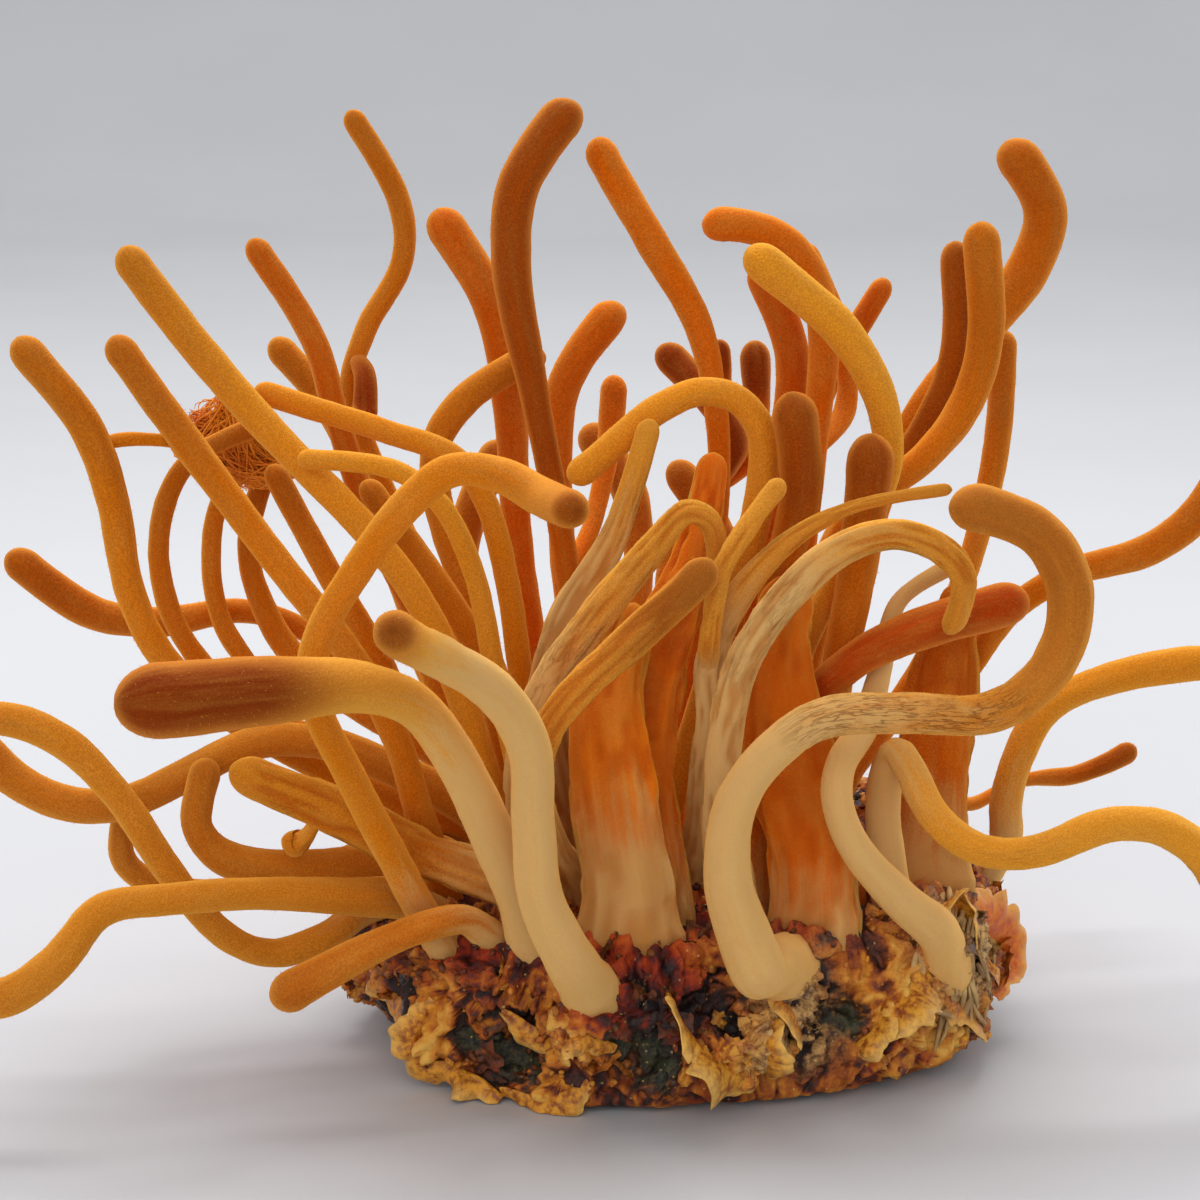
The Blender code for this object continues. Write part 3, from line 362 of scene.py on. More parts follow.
def velvet_group():
    """The height of a fine felt of threads, drawn out along the stalk."""
    t, given, out = new_group("Velvet", "ShaderNodeTree", [("Place", PLACE)], [("Height", VALUE)])
    felt = t.noise(given["Place"], 4.2, 2, 0.7)
    threads = t.noise(t.stretch(given["Place"], (1, 1, 0.2)), 6.0, 1, 0.5)
    t.put(out["Height"], t.math("ADD", t.math("MULTIPLY", felt, 0.75), t.math("MULTIPLY", threads, 0.25)))
    return t.tree


def crack_group():
    """Fine cracks that run along the stalk where its skin is wrinkled."""
    t, given, out = new_group(
        "Cracks", "ShaderNodeTree", [("Place", PLACE), ("Wrinkle", VALUE, 0.0)], [("Depth", VALUE)]
    )
    crack = t.crease(t.noise(t.stretch(given["Place"], (1, 1, 0.16)), 2.4, 2, 0.6), 0.05)
    patches = t.spread(t.noise(given["Place"], 0.35, 1), 0.35, 0.6)
    shown = t.math("MULTIPLY", t.spread(given["Wrinkle"], 0.1, 0.7), patches)
    t.put(out["Depth"], t.math("MULTIPLY", crack, shown))
    return t.tree


def shared(name, make):
    """The node group of that name, made the first time that it is asked for."""
    return bpy.data.node_groups.get(name) or make()


def new_material(name):
    """A new material, the tree of its nodes and its shader."""
    material = bpy.data.materials.new(name)
    material.use_nodes = True
    t = Tree(material.node_tree)
    return material, t, material.node_tree.nodes["Principled BSDF"]


def stored(t, name, output="Fac"):
    """In a shader, what the mesh has stored under a name."""
    return t.add("ShaderNodeAttribute", attribute_name=name).outputs[output]


# The families whose flesh lets light through, and the families with few dark specks
TRANSLUCENT = {"centre": 0.6}
SPECKLE, PLAIN_SPECKLE = {"front": 0.35, "centre": 0.15}, 0.45
# How deep light goes into such flesh, and how much of that depth red, green and blue light reach
FLESH_DEPTH, FLESH_DEPTHS = 1.6 * MM, (1.0, 0.38, 0.08)
# How high the nap stands, how much painted shade a crack lays on the skin, and the colour of the nap's sheen
NAP_HEIGHT, CRACK_STRENGTH = 0.3 * MM, 0.5
SHEEN_TINT = (1.0, 0.55, 0.12, 1)


def stalk_material(family, settings):
    """Soft flesh with a velvety nap, and a painted sheen that brightens its colour where it is seen edge on.
    Only the front stalks' skin is cracked.
    """
    material, t, shader = new_material("stalk_" + family)
    place, cream = stored(t, "place", "Vector"), stored(t, "cream")
    look = t.group(shared("Stalk colour", skin_colour_group), {
        "Place": place, "Flesh": (*FLESH[family], 1), "Cream": (*settings.cream, 1),
        "Brown": (*settings.club, 1), "Paleness": cream, "Speckle": SPECKLE.get(family, PLAIN_SPECKLE),
        **{name: stored(t, name.lower()) for name in ("Club", "Tone", "Groove")},
    })
    velvet = t.group(shared("Velvet", velvet_group), {"Place": place}).outputs[0]
    nap = t.math("MULTIPLY", velvet, t.spread(cream, 0.2, 0.85, 1.0, 0.35))
    colour = look.outputs["Color"]
    if family == "front":
        values = {"Place": place, "Wrinkle": stored(t, "wrinkle")}
        crack = t.group(shared("Cracks", crack_group), values).outputs[0]
        nap = t.math("SUBTRACT", nap, crack)
        # Painted shade along the cracks: the colour is darkened there
        colour = t.blend(t.math("MULTIPLY", crack, CRACK_STRENGTH), colour, t.shade(colour, CRACK_PAINTED_SHADE))
    bump = t.add("ShaderNodeBump", {"Strength": 0.7, "Distance": NAP_HEIGHT, "Height": nap})
    # Painted sheen: the colour is brightened towards the edges that are seen edge on
    facing = t.add("ShaderNodeLayerWeight", {"Blend": 0.5}).outputs["Facing"]
    painted_sheen = t.blend(1.0, colour, PAINTED_RIM_SHEEN, "SCREEN")
    values = {
        "Base Color": t.blend(t.spread(facing, 0.16, 0.88), colour, painted_sheen),
        "Roughness": t.spread(velvet, 0.3, 0.7, 0.66, 0.86), "Normal": bump.outputs[0],
        "Sheen Weight": 0.06, "Sheen Roughness": 0.4, "Sheen Tint": SHEEN_TINT, "Specular IOR Level": 0.08,
    }
    if family in TRANSLUCENT:
        values["Subsurface Weight"] = TRANSLUCENT[family]
        values["Subsurface Radius"] = FLESH_DEPTHS
        values["Subsurface Scale"] = FLESH_DEPTH
    for name, value in values.items():
        t.put(shader.inputs[name], value)
    return material


def crust_colour_group():
    """Dry crust: black and maroon pits, ochre and yellow ridges, and grey-beige at its right end."""
    t, given, out = new_group(
        "Crust colour", "ShaderNodeTree",
        [("Place", PLACE), ("Height", VALUE), ("Ochre", VALUE), ("Maroon", VALUE), ("Beige", VALUE),
         ("Mould", VALUE)],
        [("Color", COLOUR), ("Grain", VALUE)],
    )
    patch = t.noise(given["Place"], 0.13, 4, 0.6)
    speck = t.noise(given["Place"], 1.4, 5, 0.7)
    fleck = t.cells(given["Place"], 0.9)
    level = t.math("ADD", given["Height"], t.math("MULTIPLY_ADD", speck, 0.5, -0.25))
    level = t.math("MULTIPLY_ADD", given["Ochre"], 0.22, level)
    level = t.math("MULTIPLY_ADD", given["Maroon"], -0.16, level)
    ramp = t.add("ShaderNodeValToRGB", {"Fac": level})
    while len(ramp.color_ramp.elements) < len(CRUST_COLOURS):
        ramp.color_ramp.elements.new(0.5)
    for element, (height, colour) in zip(ramp.color_ramp.elements, CRUST_COLOURS):
        element.position = height
        element.color = (*colour, 1)
    colour = ramp.outputs[0]
    red = t.math("MAXIMUM", given["Maroon"], t.spread(patch, 0.54, 0.64, 0.0, 0.7))
    colour = t.blend(red, colour, t.shade(colour, MAROON_SHADE))
    grey = t.blend(t.spread(speck, 0.34, 0.62), rgb(106, 68, 30), rgb(214, 168, 102))
    colour = t.blend(t.math("MULTIPLY", given["Beige"], t.spread(level, 0.16, 0.42)), colour, grey)
    mould = t.blend(t.spread(speck, 0.4, 0.6), rgb(20, 18, 12), rgb(74, 74, 44))
    colour = t.blend(t.math("MULTIPLY", given["Mould"], t.spread(level, 0.75, 0.35)), colour, mould)
    colour = t.blend(t.spread(fleck, 0.16, 0.05, 0.0, 0.5), colour, rgb(244, 204, 116))
    t.put(out["Color"], colour)
    t.put(out["Grain"], speck)
    return t.tree


def crust_material():
    """Dry crust that is rough on its ridges and a little damp in its pits."""
    material, t, shader = new_material("crust")
    values = {name: stored(t, name.lower()) for name in ("Height", "Ochre", "Maroon", "Beige", "Mould")}
    values["Place"] = stored(t, "place", "Vector")
    look = t.group(shared("Crust colour", crust_colour_group), values)
    grain = look.outputs["Grain"]
    bump = t.add("ShaderNodeBump", {"Strength": 0.8, "Distance": 0.4 * MM, "Height": grain})
    high = t.spread(values["Height"], 0.3, 0.7, 0.45, 0.75)
    t.put(shader.inputs["Base Color"], look.outputs["Color"])
    t.put(shader.inputs["Roughness"], t.math("ADD", t.spread(grain, 0.3, 0.7, -0.1, 0.2), high))
    t.put(shader.inputs["Normal"], bump.outputs[0])
    return material


def flake_material():
    """Dry skin from dull ochre over yellow to red-orange, with brown creases and a paler edge.

    Scales and crumbs turn beige or dark where the crust under them is.
    """
    material, t, shader = new_material("flake")
    crease = t.noise(stored(t, "place", "Vector"), 1.1, 5, 0.65)
    tint = stored(t, "tint")
    dark = t.math("MAXIMUM", stored(t, "maroon"), stored(t, "mould"))
    colour = t.blend(t.spread(crease, 0.35, 0.62), rgb(112, 46, 8), rgb(206, 118, 40))
    # Each row is how much of a colour there is, the creases' range, and the colour in them and beside them
    for amount, low, high, in_crease, beside in (
        (t.spread(tint, 0.0, 1.0), 0.34, 0.64, rgb(150, 72, 6), rgb(230, 164, 42)),
        (t.spread(tint, 1.0, 2.0), 0.3, 0.7, rgb(196, 74, 8), rgb(232, 130, 30)),
        (t.spread(stored(t, "edge"), 0.5, 1.0, 0.0, 0.5), 0.0, 1.0, rgb(246, 204, 110), rgb(246, 204, 110)),
        (t.spread(stored(t, "beige"), 0.2, 0.8, 0.0, 0.85), 0.35, 0.6, rgb(96, 68, 36), rgb(206, 170, 112)),
        (t.spread(dark, 0.1, 0.7, 0.0, 0.9), 0.35, 0.65, rgb(36, 11, 4), rgb(96, 32, 8)),
    ):
        colour = t.blend(amount, colour, t.blend(t.spread(crease, low, high), in_crease, beside))
    bump = t.add("ShaderNodeBump", {"Strength": 0.8, "Distance": 0.3 * MM, "Height": crease})
    t.put(shader.inputs["Base Color"], colour)
    t.put(shader.inputs["Normal"], bump.outputs[0])
    t.put(shader.inputs["Roughness"], t.spread(crease, 0.3, 0.7, 0.4, 0.75))
    return material


def fibre_material(name, colour, shade):
    """Dull threads or hairs in two colours that change over a few millimetres."""
    material, t, shader = new_material(name)
    place = t.add("ShaderNodeTexCoord").outputs["Object"]
    t.put(shader.inputs["Base Color"], t.blend(t.spread(t.noise(place, 300.0), 0.35, 0.65), colour, shade))
    shader.inputs["Roughness"].default_value = 0.7
    return material


def stage_material(name, near, far, roughness):
    """Plain paper, a little cloudy, with painted light and shade: darker near the bunch and paler far behind
    it.
    """
    material, t, shader = new_material(name)
    place = t.add("ShaderNodeTexCoord").outputs["Object"]
    cloudy = t.spread(t.noise(place, 9.0, 3, 0.5), 0.3, 0.7)
    depth = t.add("ShaderNodeSeparateXYZ", {0: place}).outputs["Y"]
    # Painted shade near the bunch, fading to painted light far behind it
    colour = t.blend(t.spread(depth, 0.3, 1.0), near, far)
    t.put(shader.inputs["Base Color"], t.blend(cloudy, colour, t.shade(colour, (0.97, 0.97, 0.97))))
    shader.inputs["Roughness"].default_value = roughness
    return material


# Reading the frame's solids


def points_of(mesh):
    """A mesh's points, in millimetres."""
    flat = np.empty(len(mesh.vertices) * 3)
    mesh.vertices.foreach_get("co", flat)
    return flat.reshape(-1, 3) / MM


def welded(obj):
    """The solid's separate corners, in millimetres, and its triangles."""
    mesh = obj.data
    mesh.calc_loop_triangles()
    triangles = np.empty(len(mesh.loop_triangles) * 3, np.int32)
    mesh.loop_triangles.foreach_get("vertices", triangles)
    corners, index = np.unique(np.round(points_of(mesh), 4), axis=0, return_inverse=True)
    index = index.reshape(-1)[triangles].reshape(-1, 3)
    whole = (index[:, 0] != index[:, 1]) & (index[:, 1] != index[:, 2]) & (index[:, 0] != index[:, 2])
    return corners, index[whole]


def solid_surface(node):
    """The surface of a node's solid, in millimetres, for finding points on it."""
    corners, triangles = welded(frame["nodes"][node])
    return BVHTree.FromPolygons([Vector(c) for c in corners], triangles.tolist())


Ring = namedtuple("Ring", "middle spread")


def ring_of(points):
    """A ring's middle, and the spread of the ellipse with the same area as the ring's polygon."""
    middle = points.mean(axis=0)
    out = points - middle
    turn = 2 * math.pi / len(points)
    return Ring(middle, 2 / len(points) * (out.T @ out) * math.sin(turn) / turn)


def walked(start, sides, near, corners):
    """The tube's rings, walked from some corners at its end for as long as the tube is plain."""
    seen, ring, rings = set(start), set(start), []
    while True:
        ring = {n for v in ring for n in near[v]} - seen
        if len(ring) != sides:
            return rings
        seen |= ring
        rings.append(ring_of(corners[sorted(ring)]))


def ends_of(node, block):
    """The rings from the node's foot upwards, and each tip's point with the rings down from it."""
    corners, triangles = welded(frame["nodes"][node])
    near = [set() for _ in corners]
    for a, b, c in triangles:
        near[a] |= {b, c}
        near[b] |= {a, c}
        near[c] |= {a, b}
    tips = []
    for tip, around in enumerate(near):
        if len(around) in SOLID_SIDES:
            second = {n for v in around for n in near[v]} - around - {tip}
            if len(second) == len(around):
                tips.append((corners[tip], walked({tip}, len(around), near, corners)))
    # The foot is the flat face nearest the block, so its triangles lie in one plane and span one ring
    first, second, third = (corners[triangles[:, k]] for k in range(3))
    normals = np.cross(second - first, third - first)
    normals /= np.linalg.norm(normals, axis=1)[:, None]
    depth = (normals * first).sum(axis=1)
    level = (normals @ normals.T > 0.9998) & (np.abs(depth[:, None] - depth) < 0.03)
    faces = []
    for flat in level[level.sum(axis=1) >= 4]:
        face = set(triangles[flat].ravel().tolist())
        if len(face) in SOLID_SIDES and len(face) == flat.sum() + 2:
            middle = Vector(corners[sorted(face)].mean(axis=0))
            faces.append((block.find_nearest(middle)[3], sorted(face)))
    foot = min(faces)[1]
    return [ring_of(corners[foot]), *walked(foot, len(foot), near, corners)], tips


# Stalks whose stem, and not a twig of it, is what ends furthest left
ENDS_FURTHEST_LEFT = ("crown_far_dark",)


def smooth_path(points, step):
    """Evenly spaced points on the centripetal Catmull-Rom curve through some points."""
    through = np.array(points, float)
    through = np.vstack([2 * through[0] - through[1], through, 2 * through[-1] - through[-2]])
    gaps = np.maximum(np.linalg.norm(np.diff(through, axis=0), axis=1), 1e-6) ** 0.5
    curve = []
    for i in range(1, len(through) - 2):
        p, d = through[i - 1:i + 3], gaps[i - 1:i + 2]
        t0, t1, t2, t3 = 0, d[0], d[0] + d[1], d.sum()
        t = np.linspace(t1, t2, 24, endpoint=False)[:, None]
        a1 = (t1 - t) / (t1 - t0) * p[0] + (t - t0) / (t1 - t0) * p[1]
        a2 = (t2 - t) / (t2 - t1) * p[1] + (t - t1) / (t2 - t1) * p[2]
        a3 = (t3 - t) / (t3 - t2) * p[2] + (t - t2) / (t3 - t2) * p[3]
        b1 = (t2 - t) / (t2 - t0) * a1 + (t - t0) / (t2 - t0) * a2
        b2 = (t3 - t) / (t3 - t1) * a2 + (t - t1) / (t3 - t1) * a3
        curve.append((t2 - t) / (t2 - t1) * b1 + (t - t1) / (t2 - t1) * b2)
    curve = np.vstack([*curve, through[-2:-1]])
    run = np.concatenate([[0], np.cumsum(np.linalg.norm(np.diff(curve, axis=0), axis=1))])
    places = np.linspace(0, run[-1], max(6, round(run[-1] / step)))
    return np.stack([np.interp(places, run, curve[:, k]) for k in range(3)], axis=1)


def recentred(point, along, size, surface):
    """A point moved square to the tube until the tube's wall is as far from it on both sides."""
    _, first, second = carried_frames(np.array([point - along, point, point + along]))
    for _ in range(4):
        shift, count = np.zeros(3), 0
        for k in range(8):
            angle = math.pi * k / 8
            way = Vector(math.cos(angle) * first[1] + math.sin(angle) * second[1])
            near = surface.ray_cast(Vector(point), way, 2.2 * size)[3]
            far = surface.ray_cast(Vector(point), -way, 2.2 * size)[3]
            if near is not None and far is not None and near + far < 2.9 * size:
                shift += np.array(way) * (near - far) / 2
                count += 1
        if count == 0:
            place, outward, _, _ = surface.find_nearest(Vector(point))
            shift, count = np.array(place) - np.array(outward) * size - point, 1
            shift -= along * (shift @ along)
        point = point + 2 * shift / count * (1 if count == 1 else 0.9)
    return point


def radius(ring):
    """Half the ring's greatest width."""
    return math.sqrt(np.linalg.eigvalsh(ring.spread)[-1])


def unit(v):
    """The vector made one long."""
    return v / np.linalg.norm(v)


def branches_of(node, block):
    """The node's stem and twigs, each as its rings upwards, its tip's point and if it is the stem."""
    foot, tips = ends_of(node, block)

    def strangeness(tip):
        """How badly a tip's rings carry on from the foot's, by their bend, thickness and how few they are."""
        inner = tip[1][-1]
        gap = inner.middle - foot[-1].middle
        if np.linalg.norm(gap) < 0.5:
            return -10.0
        heading = unit(foot[-1].middle - foot[-2].middle) if len(foot) > 1 else unit(gap)
        onward = unit(tip[1][-2].middle - inner.middle)
        bend = 1 - unit(gap) @ heading + 1 - unit(gap) @ onward
        return bend + 2 * abs(math.log(radius(inner) / radius(foot[-1]))) - 0.02 * len(tip[1])

    furthest_left = node in ENDS_FURTHEST_LEFT
    main = min(tips, key=(lambda tip: tip[0][0]) if furthest_left else strangeness)
    upper = main[1][::-1]
    if len(upper) >= len(foot) and np.linalg.norm(upper[0].middle - foot[0].middle) < 0.5:
        stem = upper
    else:
        stem = bridged(node, foot, upper, main[0])
    made = [(stem, main[0], True)]
    line = smooth_path([r.middle for r in stem] + [main[0]], STEM_STEP)
    for tip in tips:
        if tip is not main:
            twig = tip[1][::-1]
            lead = (1 + ROOT_LEAD) * twig[0].middle - ROOT_LEAD * twig[1].middle
            root = line[np.linalg.norm(line - lead, axis=1).argmin()]
            made.append(([Ring(root, twig[0].spread), *twig], tip[0], False))
    return made


def bridged(node, lower, upper, tip):
    """A stem's rings, with new ones in the middle of the solid in the gap where twigs leave it."""
    surface = solid_surface(node)
    gap = np.linalg.norm(upper[0].middle - lower[-1].middle)
    line = smooth_path([*[r.middle for r in lower + upper], tip], 0.5)
    start, end = (np.linalg.norm(line - r.middle, axis=1).argmin() for r in (lower[-1], upper[0]))
    count = max(0, round(gap / BRIDGE_GAP) - 1)
    between = []
    for k in range(1, count + 1):
        share = k / (count + 1)
        at = round(start + (end - start) * share)
        spread = lower[-1].spread * (1 - share) + upper[0].spread * share
        size = math.sqrt(np.sort(np.linalg.eigvalsh(spread))[1:].mean())
        along = unit(line[min(at + 1, len(line) - 1)] - line[at - 1])
        between.append(Ring(recentred(line[at], along, size, surface), spread))
    return [*lower, *between, *upper]


# Skins


def carried_frames(points):
    """Two directions square to the line at each point, carried along it without twist."""
    along = np.gradient(points, axis=0)
    along /= np.linalg.norm(along, axis=1)[:, None]
    across = np.cross(along[0], (0.0, 1.0, 0.0))
    if np.linalg.norm(across) < 0.2:
        across = np.array((1.0, 0.0, 0.0))
    first = []
    for t in along:
        across = across - t * (across @ t)
        across = across / np.linalg.norm(across)
        first.append(across)
    first = np.array(first)
    return along, first, np.cross(along, first)


def square_root(m):
    """The square root of a stack of symmetric 2 by 2 matrices."""
    root = np.sqrt(np.maximum(m[:, 0, 0] * m[:, 1, 1] - m[:, 0, 1] ** 2, 1e-8))
    total = np.sqrt(m[:, 0, 0] + m[:, 1, 1] + 2 * root)
    return (m + root[:, None, None] * np.eye(2)) / total[:, None, None]


def skin_grid(rings, tip, rooted, sides, step):
    """Rows of points round a branch from its root to just short of its tip.

    With them come how far along each row is, the branch's length, the rows' ellipses and the points' angles.
    """
    knots = [*[r.middle for r in rings], tip]
    if rooted:
        foot = rings[0].middle + unit(rings[0].middle - rings[1].middle) * SINK
        foot[2] = max(foot[2], LOWEST_FOOT)
        knots.insert(0, foot)
    line = smooth_path(knots, step)
    run = np.concatenate([[0], np.cumsum(np.linalg.norm(np.diff(line, axis=0), axis=1))])
    body = rings[:-1]
    at = [run[np.linalg.norm(line - r.middle, axis=1).argmin()] for r in body]
    spreads = np.array([r.spread for r in body])
    club = 2 * math.sqrt(np.linalg.eigvalsh(body[-1].spread)[-1])
    cap = CAP_SHARE * club
    ending = run[-1] - cap
    rows = np.concatenate([
        np.arange(0, ending, step), ending + cap * np.sin(np.linspace(0, math.pi / 2, CAP_ROWS + 1)[:-1])
    ])
    points = np.stack([np.interp(rows, run, line[:, k]) for k in range(3)], axis=1)
    _, first, second = carried_frames(points)
    spread = np.stack([np.interp(rows, at, spreads[:, i, j]) for i in range(3) for j in range(3)], axis=1)
    window = max(1, round(2.0 / step))
    padded = np.pad(spread, ((window, window), (0, 0)), mode="edge")
    spread = np.stack([padded[k:k + len(rows)] for k in range(2 * window + 1)]).mean(axis=0).reshape(-1, 3, 3)
    axes = np.stack([first, second], axis=1)
    shape = square_root(np.einsum("nik,nkl,njl->nij", axes, spread, axes))
    if rooted:
        shape *= 1 + FLARE * np.exp(-np.maximum(rows - SINK, 0) / FLARE_FADE)[:, None, None]
    else:
        shape *= (1 - TWIG_TAPER * np.exp(-rows / TWIG_TAPER_FADE))[:, None, None]
    close = np.clip((rows - ending) / cap, 0, 1)
    shape *= np.sqrt(np.maximum(1 - close ** 2, 0))[:, None, None]
    angles = 2 * math.pi * np.arange(sides) / sides
    circle = np.stack([np.cos(angles), np.sin(angles)])
    offsets = np.einsum("nij,jk->nki", shape, circle)
    grid = points[:, None] + offsets[..., :1] * first[:, None] + offsets[..., 1:] * second[:, None]
    return grid, rows, run[-1], shape, angles


def mesh_from_rows(name, grids):
    """One mesh of several closed tubes. Each tube is its rows of points and the point at its tip."""
    points, faces, first = [], [], 0
    for rows, tip in grids:
        count, sides = rows.shape[:2]
        middle = rows[0].mean(axis=0)
        points += [rows.reshape(-1, 3), [tip], [middle]]
        index = first + np.arange(count * sides).reshape(count, sides)
        beside = np.roll(index, -1, axis=1)
        faces += np.stack([index[:-1], beside[:-1], beside[1:], index[1:]], axis=-1).reshape(-1, 4).tolist()
        top, bottom = first + count * sides, first + count * sides + 1
        faces += [(a, b, top) for a, b in zip(index[-1].tolist(), beside[-1].tolist())]
        faces += [(b, a, bottom) for a, b in zip(index[0].tolist(), beside[0].tolist())]
        first += count * sides + 2
    mesh = bpy.data.meshes.new(name)
    mesh.from_pydata((np.vstack(points) * MM).tolist(), [], faces)
    mesh.update()
    mesh.shade_smooth()
    return mesh


def store(mesh, name, values, kind="FLOAT"):
    """Stores a value at each of a mesh's points."""
    data = mesh.attributes.new(name, kind, "POINT").data
    data.foreach_set("vector" if kind == "FLOAT_VECTOR" else "value", np.asarray(values, float).ravel())


def show(name, data, material=None):
    """A new object in the scene, which holds a mesh, a lamp or a camera."""
    obj = bpy.data.objects.new(name, data)
    if material is not None:
        data.materials.append(material)
    bpy.context.scene.collection.objects.link(obj)
    return obj


def give_uv(mesh, around, along):
    """A UV map that runs round and along the tube, with no face folded back over the seam."""
    uv = mesh.uv_layers.new(name="skin")
    corners = np.empty(len(mesh.loops), np.int32)
    mesh.loops.foreach_get("vertex_index", corners)
    starts = np.array([p.loop_start for p in mesh.polygons])
    totals = np.array([p.loop_total for p in mesh.polygons])
    face = np.repeat(np.arange(len(starts)), totals)
    u = around[corners]
    high = np.zeros(len(starts))
    np.maximum.at(high, face, u)
    u = np.where((high[face] > 0.75) & (u < 0.25), u + 1, u)
    uv.data.foreach_set("uv", np.stack([u, along[corners]], axis=1).ravel())


def plain_mesh(obj):
    """Turns what an object's modifiers make of it into its own mesh."""
    bpy.context.view_layer.update()
    graph = bpy.context.evaluated_depsgraph_get()
    made = obj.evaluated_get(graph)
    mesh = bpy.data.meshes.new_from_object(made, preserve_all_data_layers=True, depsgraph=graph)
    old = obj.data
    obj.modifiers.clear()
    obj.data = mesh
    mesh.name = obj.name
    if old.users == 0:
        bpy.data.meshes.remove(old)
    return obj


def divide(obj, levels):
    """Divides an object's faces and rounds them, the same in the view as in a render."""
    finer = obj.modifiers.new("finer", "SUBSURF")
    finer.levels = finer.render_levels = levels


def run_nodes(obj, tree, values):
    """Puts a geometry node tree on an object with its inputs set, and keeps the result as plain mesh."""
    modifier = obj.modifiers.new(tree.name, "NODES")
    modifier.node_group = tree
    sockets = {s.name: s.identifier for s in tree.interface.items_tree if s.in_out == "INPUT"}
    for name, value in values.items():
        modifier[sockets[name]] = value
    return plain_mesh(obj)


GEOMETRY, COUNT, MATERIAL = "NodeSocketGeometry", "NodeSocketInt", "NodeSocketMaterial"


def geometry_group(name, *inputs):
    """An empty geometry tree that takes a geometry, some inputs of its own and a material."""
    inputs = [("Geometry", GEOMETRY), *inputs, ("Material", MATERIAL)]
    return new_group(name, "GeometryNodeTree", inputs, [("Geometry", GEOMETRY)])


def stored_value(t, name, kind="FLOAT"):
    """In a geometry tree, what the mesh has stored under a name."""
    return t.add("GeometryNodeInputNamedAttribute", {"Name": name}, data_type=kind).outputs["Attribute"]


def position(t):
    """Where each point is."""
    return t.add("GeometryNodeInputPosition").outputs[0]


def in_millimetres(t):
    """Where each point is, counted in millimetres."""
    return t.stretch(position(t), (1 / MM, 1 / MM, 1 / MM))


def relief_tree():
    """Furrows, broad valleys and fine folds along a skin, and a slight unevenness, pushed out of it."""
    t, given, out = geometry_group("Skin relief", ("Unevenness", VALUE, 0.16), ("Grain", VALUE, 0.03))
    place = stored_value(t, "place", "FLOAT_VECTOR")
    furrow, wrinkle = stored_value(t, "furrow"), stored_value(t, "wrinkle")
    groove = t.crease(t.noise(t.stretch(place, (1, 1, 0.06)), 1.0, 3, 0.55), 0.085)
    valley = t.crease(t.noise(t.stretch(place, (1, 1, 0.10)), 0.36, 2, 0.5), 0.20)
    valley = t.math("MULTIPLY", valley, t.spread(furrow, 0.5, 1.0))
    fold = t.crease(t.noise(t.stretch(place, (1, 1, 0.12)), 2.6, 3, 0.65), 0.045)
    fold = t.math("MULTIPLY", fold, wrinkle)
    broad = t.math("SUBTRACT", t.noise(place, 0.22, 2, 0.5), 0.5)
    grain = t.math("SUBTRACT", t.noise(place, 2.6, 3, 0.6), 0.5)
    shallow = t.math("MULTIPLY", groove, t.math("MINIMUM", furrow, t.spread(furrow, 0.5, 1.0, 0.7, 0.3)))
    height = t.math("MULTIPLY_ADD", valley, -0.8, t.math("MULTIPLY", shallow, -1.0))
    height = t.math("SUBTRACT", height, t.math("MULTIPLY", fold, 0.12))
    height = t.math("MULTIPLY_ADD", broad, t.math("MULTIPLY", given["Unevenness"], 2.0), height)
    height = t.math("MULTIPLY_ADD", grain, t.math("MULTIPLY", given["Grain"], 2.0), height)
    # How deep each point lies in a furrow, valley or fold, kept as groove for the painted shade in the skin's
    # colour
    depth = t.math("MULTIPLY", groove, t.spread(furrow, 0.0, 0.35))
    depth = t.math("MAXIMUM", t.math("MULTIPLY", valley, 0.7), depth)
    depth = t.math("MAXIMUM", depth, t.math("MULTIPLY", fold, 0.6))
    moved = t.push_out(given["Geometry"], t.math("MULTIPLY", height, MM))
    return t.finish(t.keep(moved, "groove", depth), given, out)


def scattered(t, given, points, piece, least, most):
    """A copy of a piece at each point, leaned and sized its own way."""
    values = {0: (-1, -1, -1), 1: (1, 1, 1), "Seed": given["Seed"]}
    lean = t.add("FunctionNodeRandomValue", values, data_type="FLOAT_VECTOR").outputs[0]
    way = t.vector("ADD", points.outputs["Normal"], t.vector("SCALE", lean, given["Lean"]))
    turn = t.add("FunctionNodeAlignRotationToVector", {"Vector": way}, axis="Z")
    values = {2: least, 3: most, "Seed": given["Seed"]}
    size = t.add("FunctionNodeRandomValue", values, data_type="FLOAT").outputs[1]
    made = t.add("GeometryNodeInstanceOnPoints", {
        "Points": points.outputs["Points"], "Instance": piece.outputs[0], "Rotation": turn.outputs[0],
        "Scale": size,
    })
    return made.outputs[0]


# A square metre in square millimetres
PER_SQUARE_MM = 1e6


def fuzz_tree():
    """Fine tapered hairs strewn over a surface, leaning every way."""
    t, given, out = geometry_group(
        "Fuzz", ("Hairs per mm2", VALUE, 0.4), ("Length", VALUE, 0.45), ("Thickness", VALUE, 0.03),
        ("Lean", VALUE, 0.9), ("Seed", COUNT, 1),
    )
    points = t.add("GeometryNodeDistributePointsOnFaces", {
        "Mesh": given["Geometry"], "Seed": given["Seed"],
        "Density": t.math("MULTIPLY", given["Hairs per mm2"], PER_SQUARE_MM),
    })
    hair = t.add("GeometryNodeMeshCone", {
        "Vertices": 3, "Side Segments": 1, "Radius Top": 0.0,
        "Radius Bottom": t.math("MULTIPLY", given["Thickness"], 0.5 * MM),
        "Depth": t.math("MULTIPLY", given["Length"], MM),
    }, fill_type="NONE")
    hairs = scattered(t, given, points, hair, 0.4, 1.3)
    real = t.add("GeometryNodeRealizeInstances", {"Geometry": hairs}).outputs[0]
    return t.finish(real, given, out)


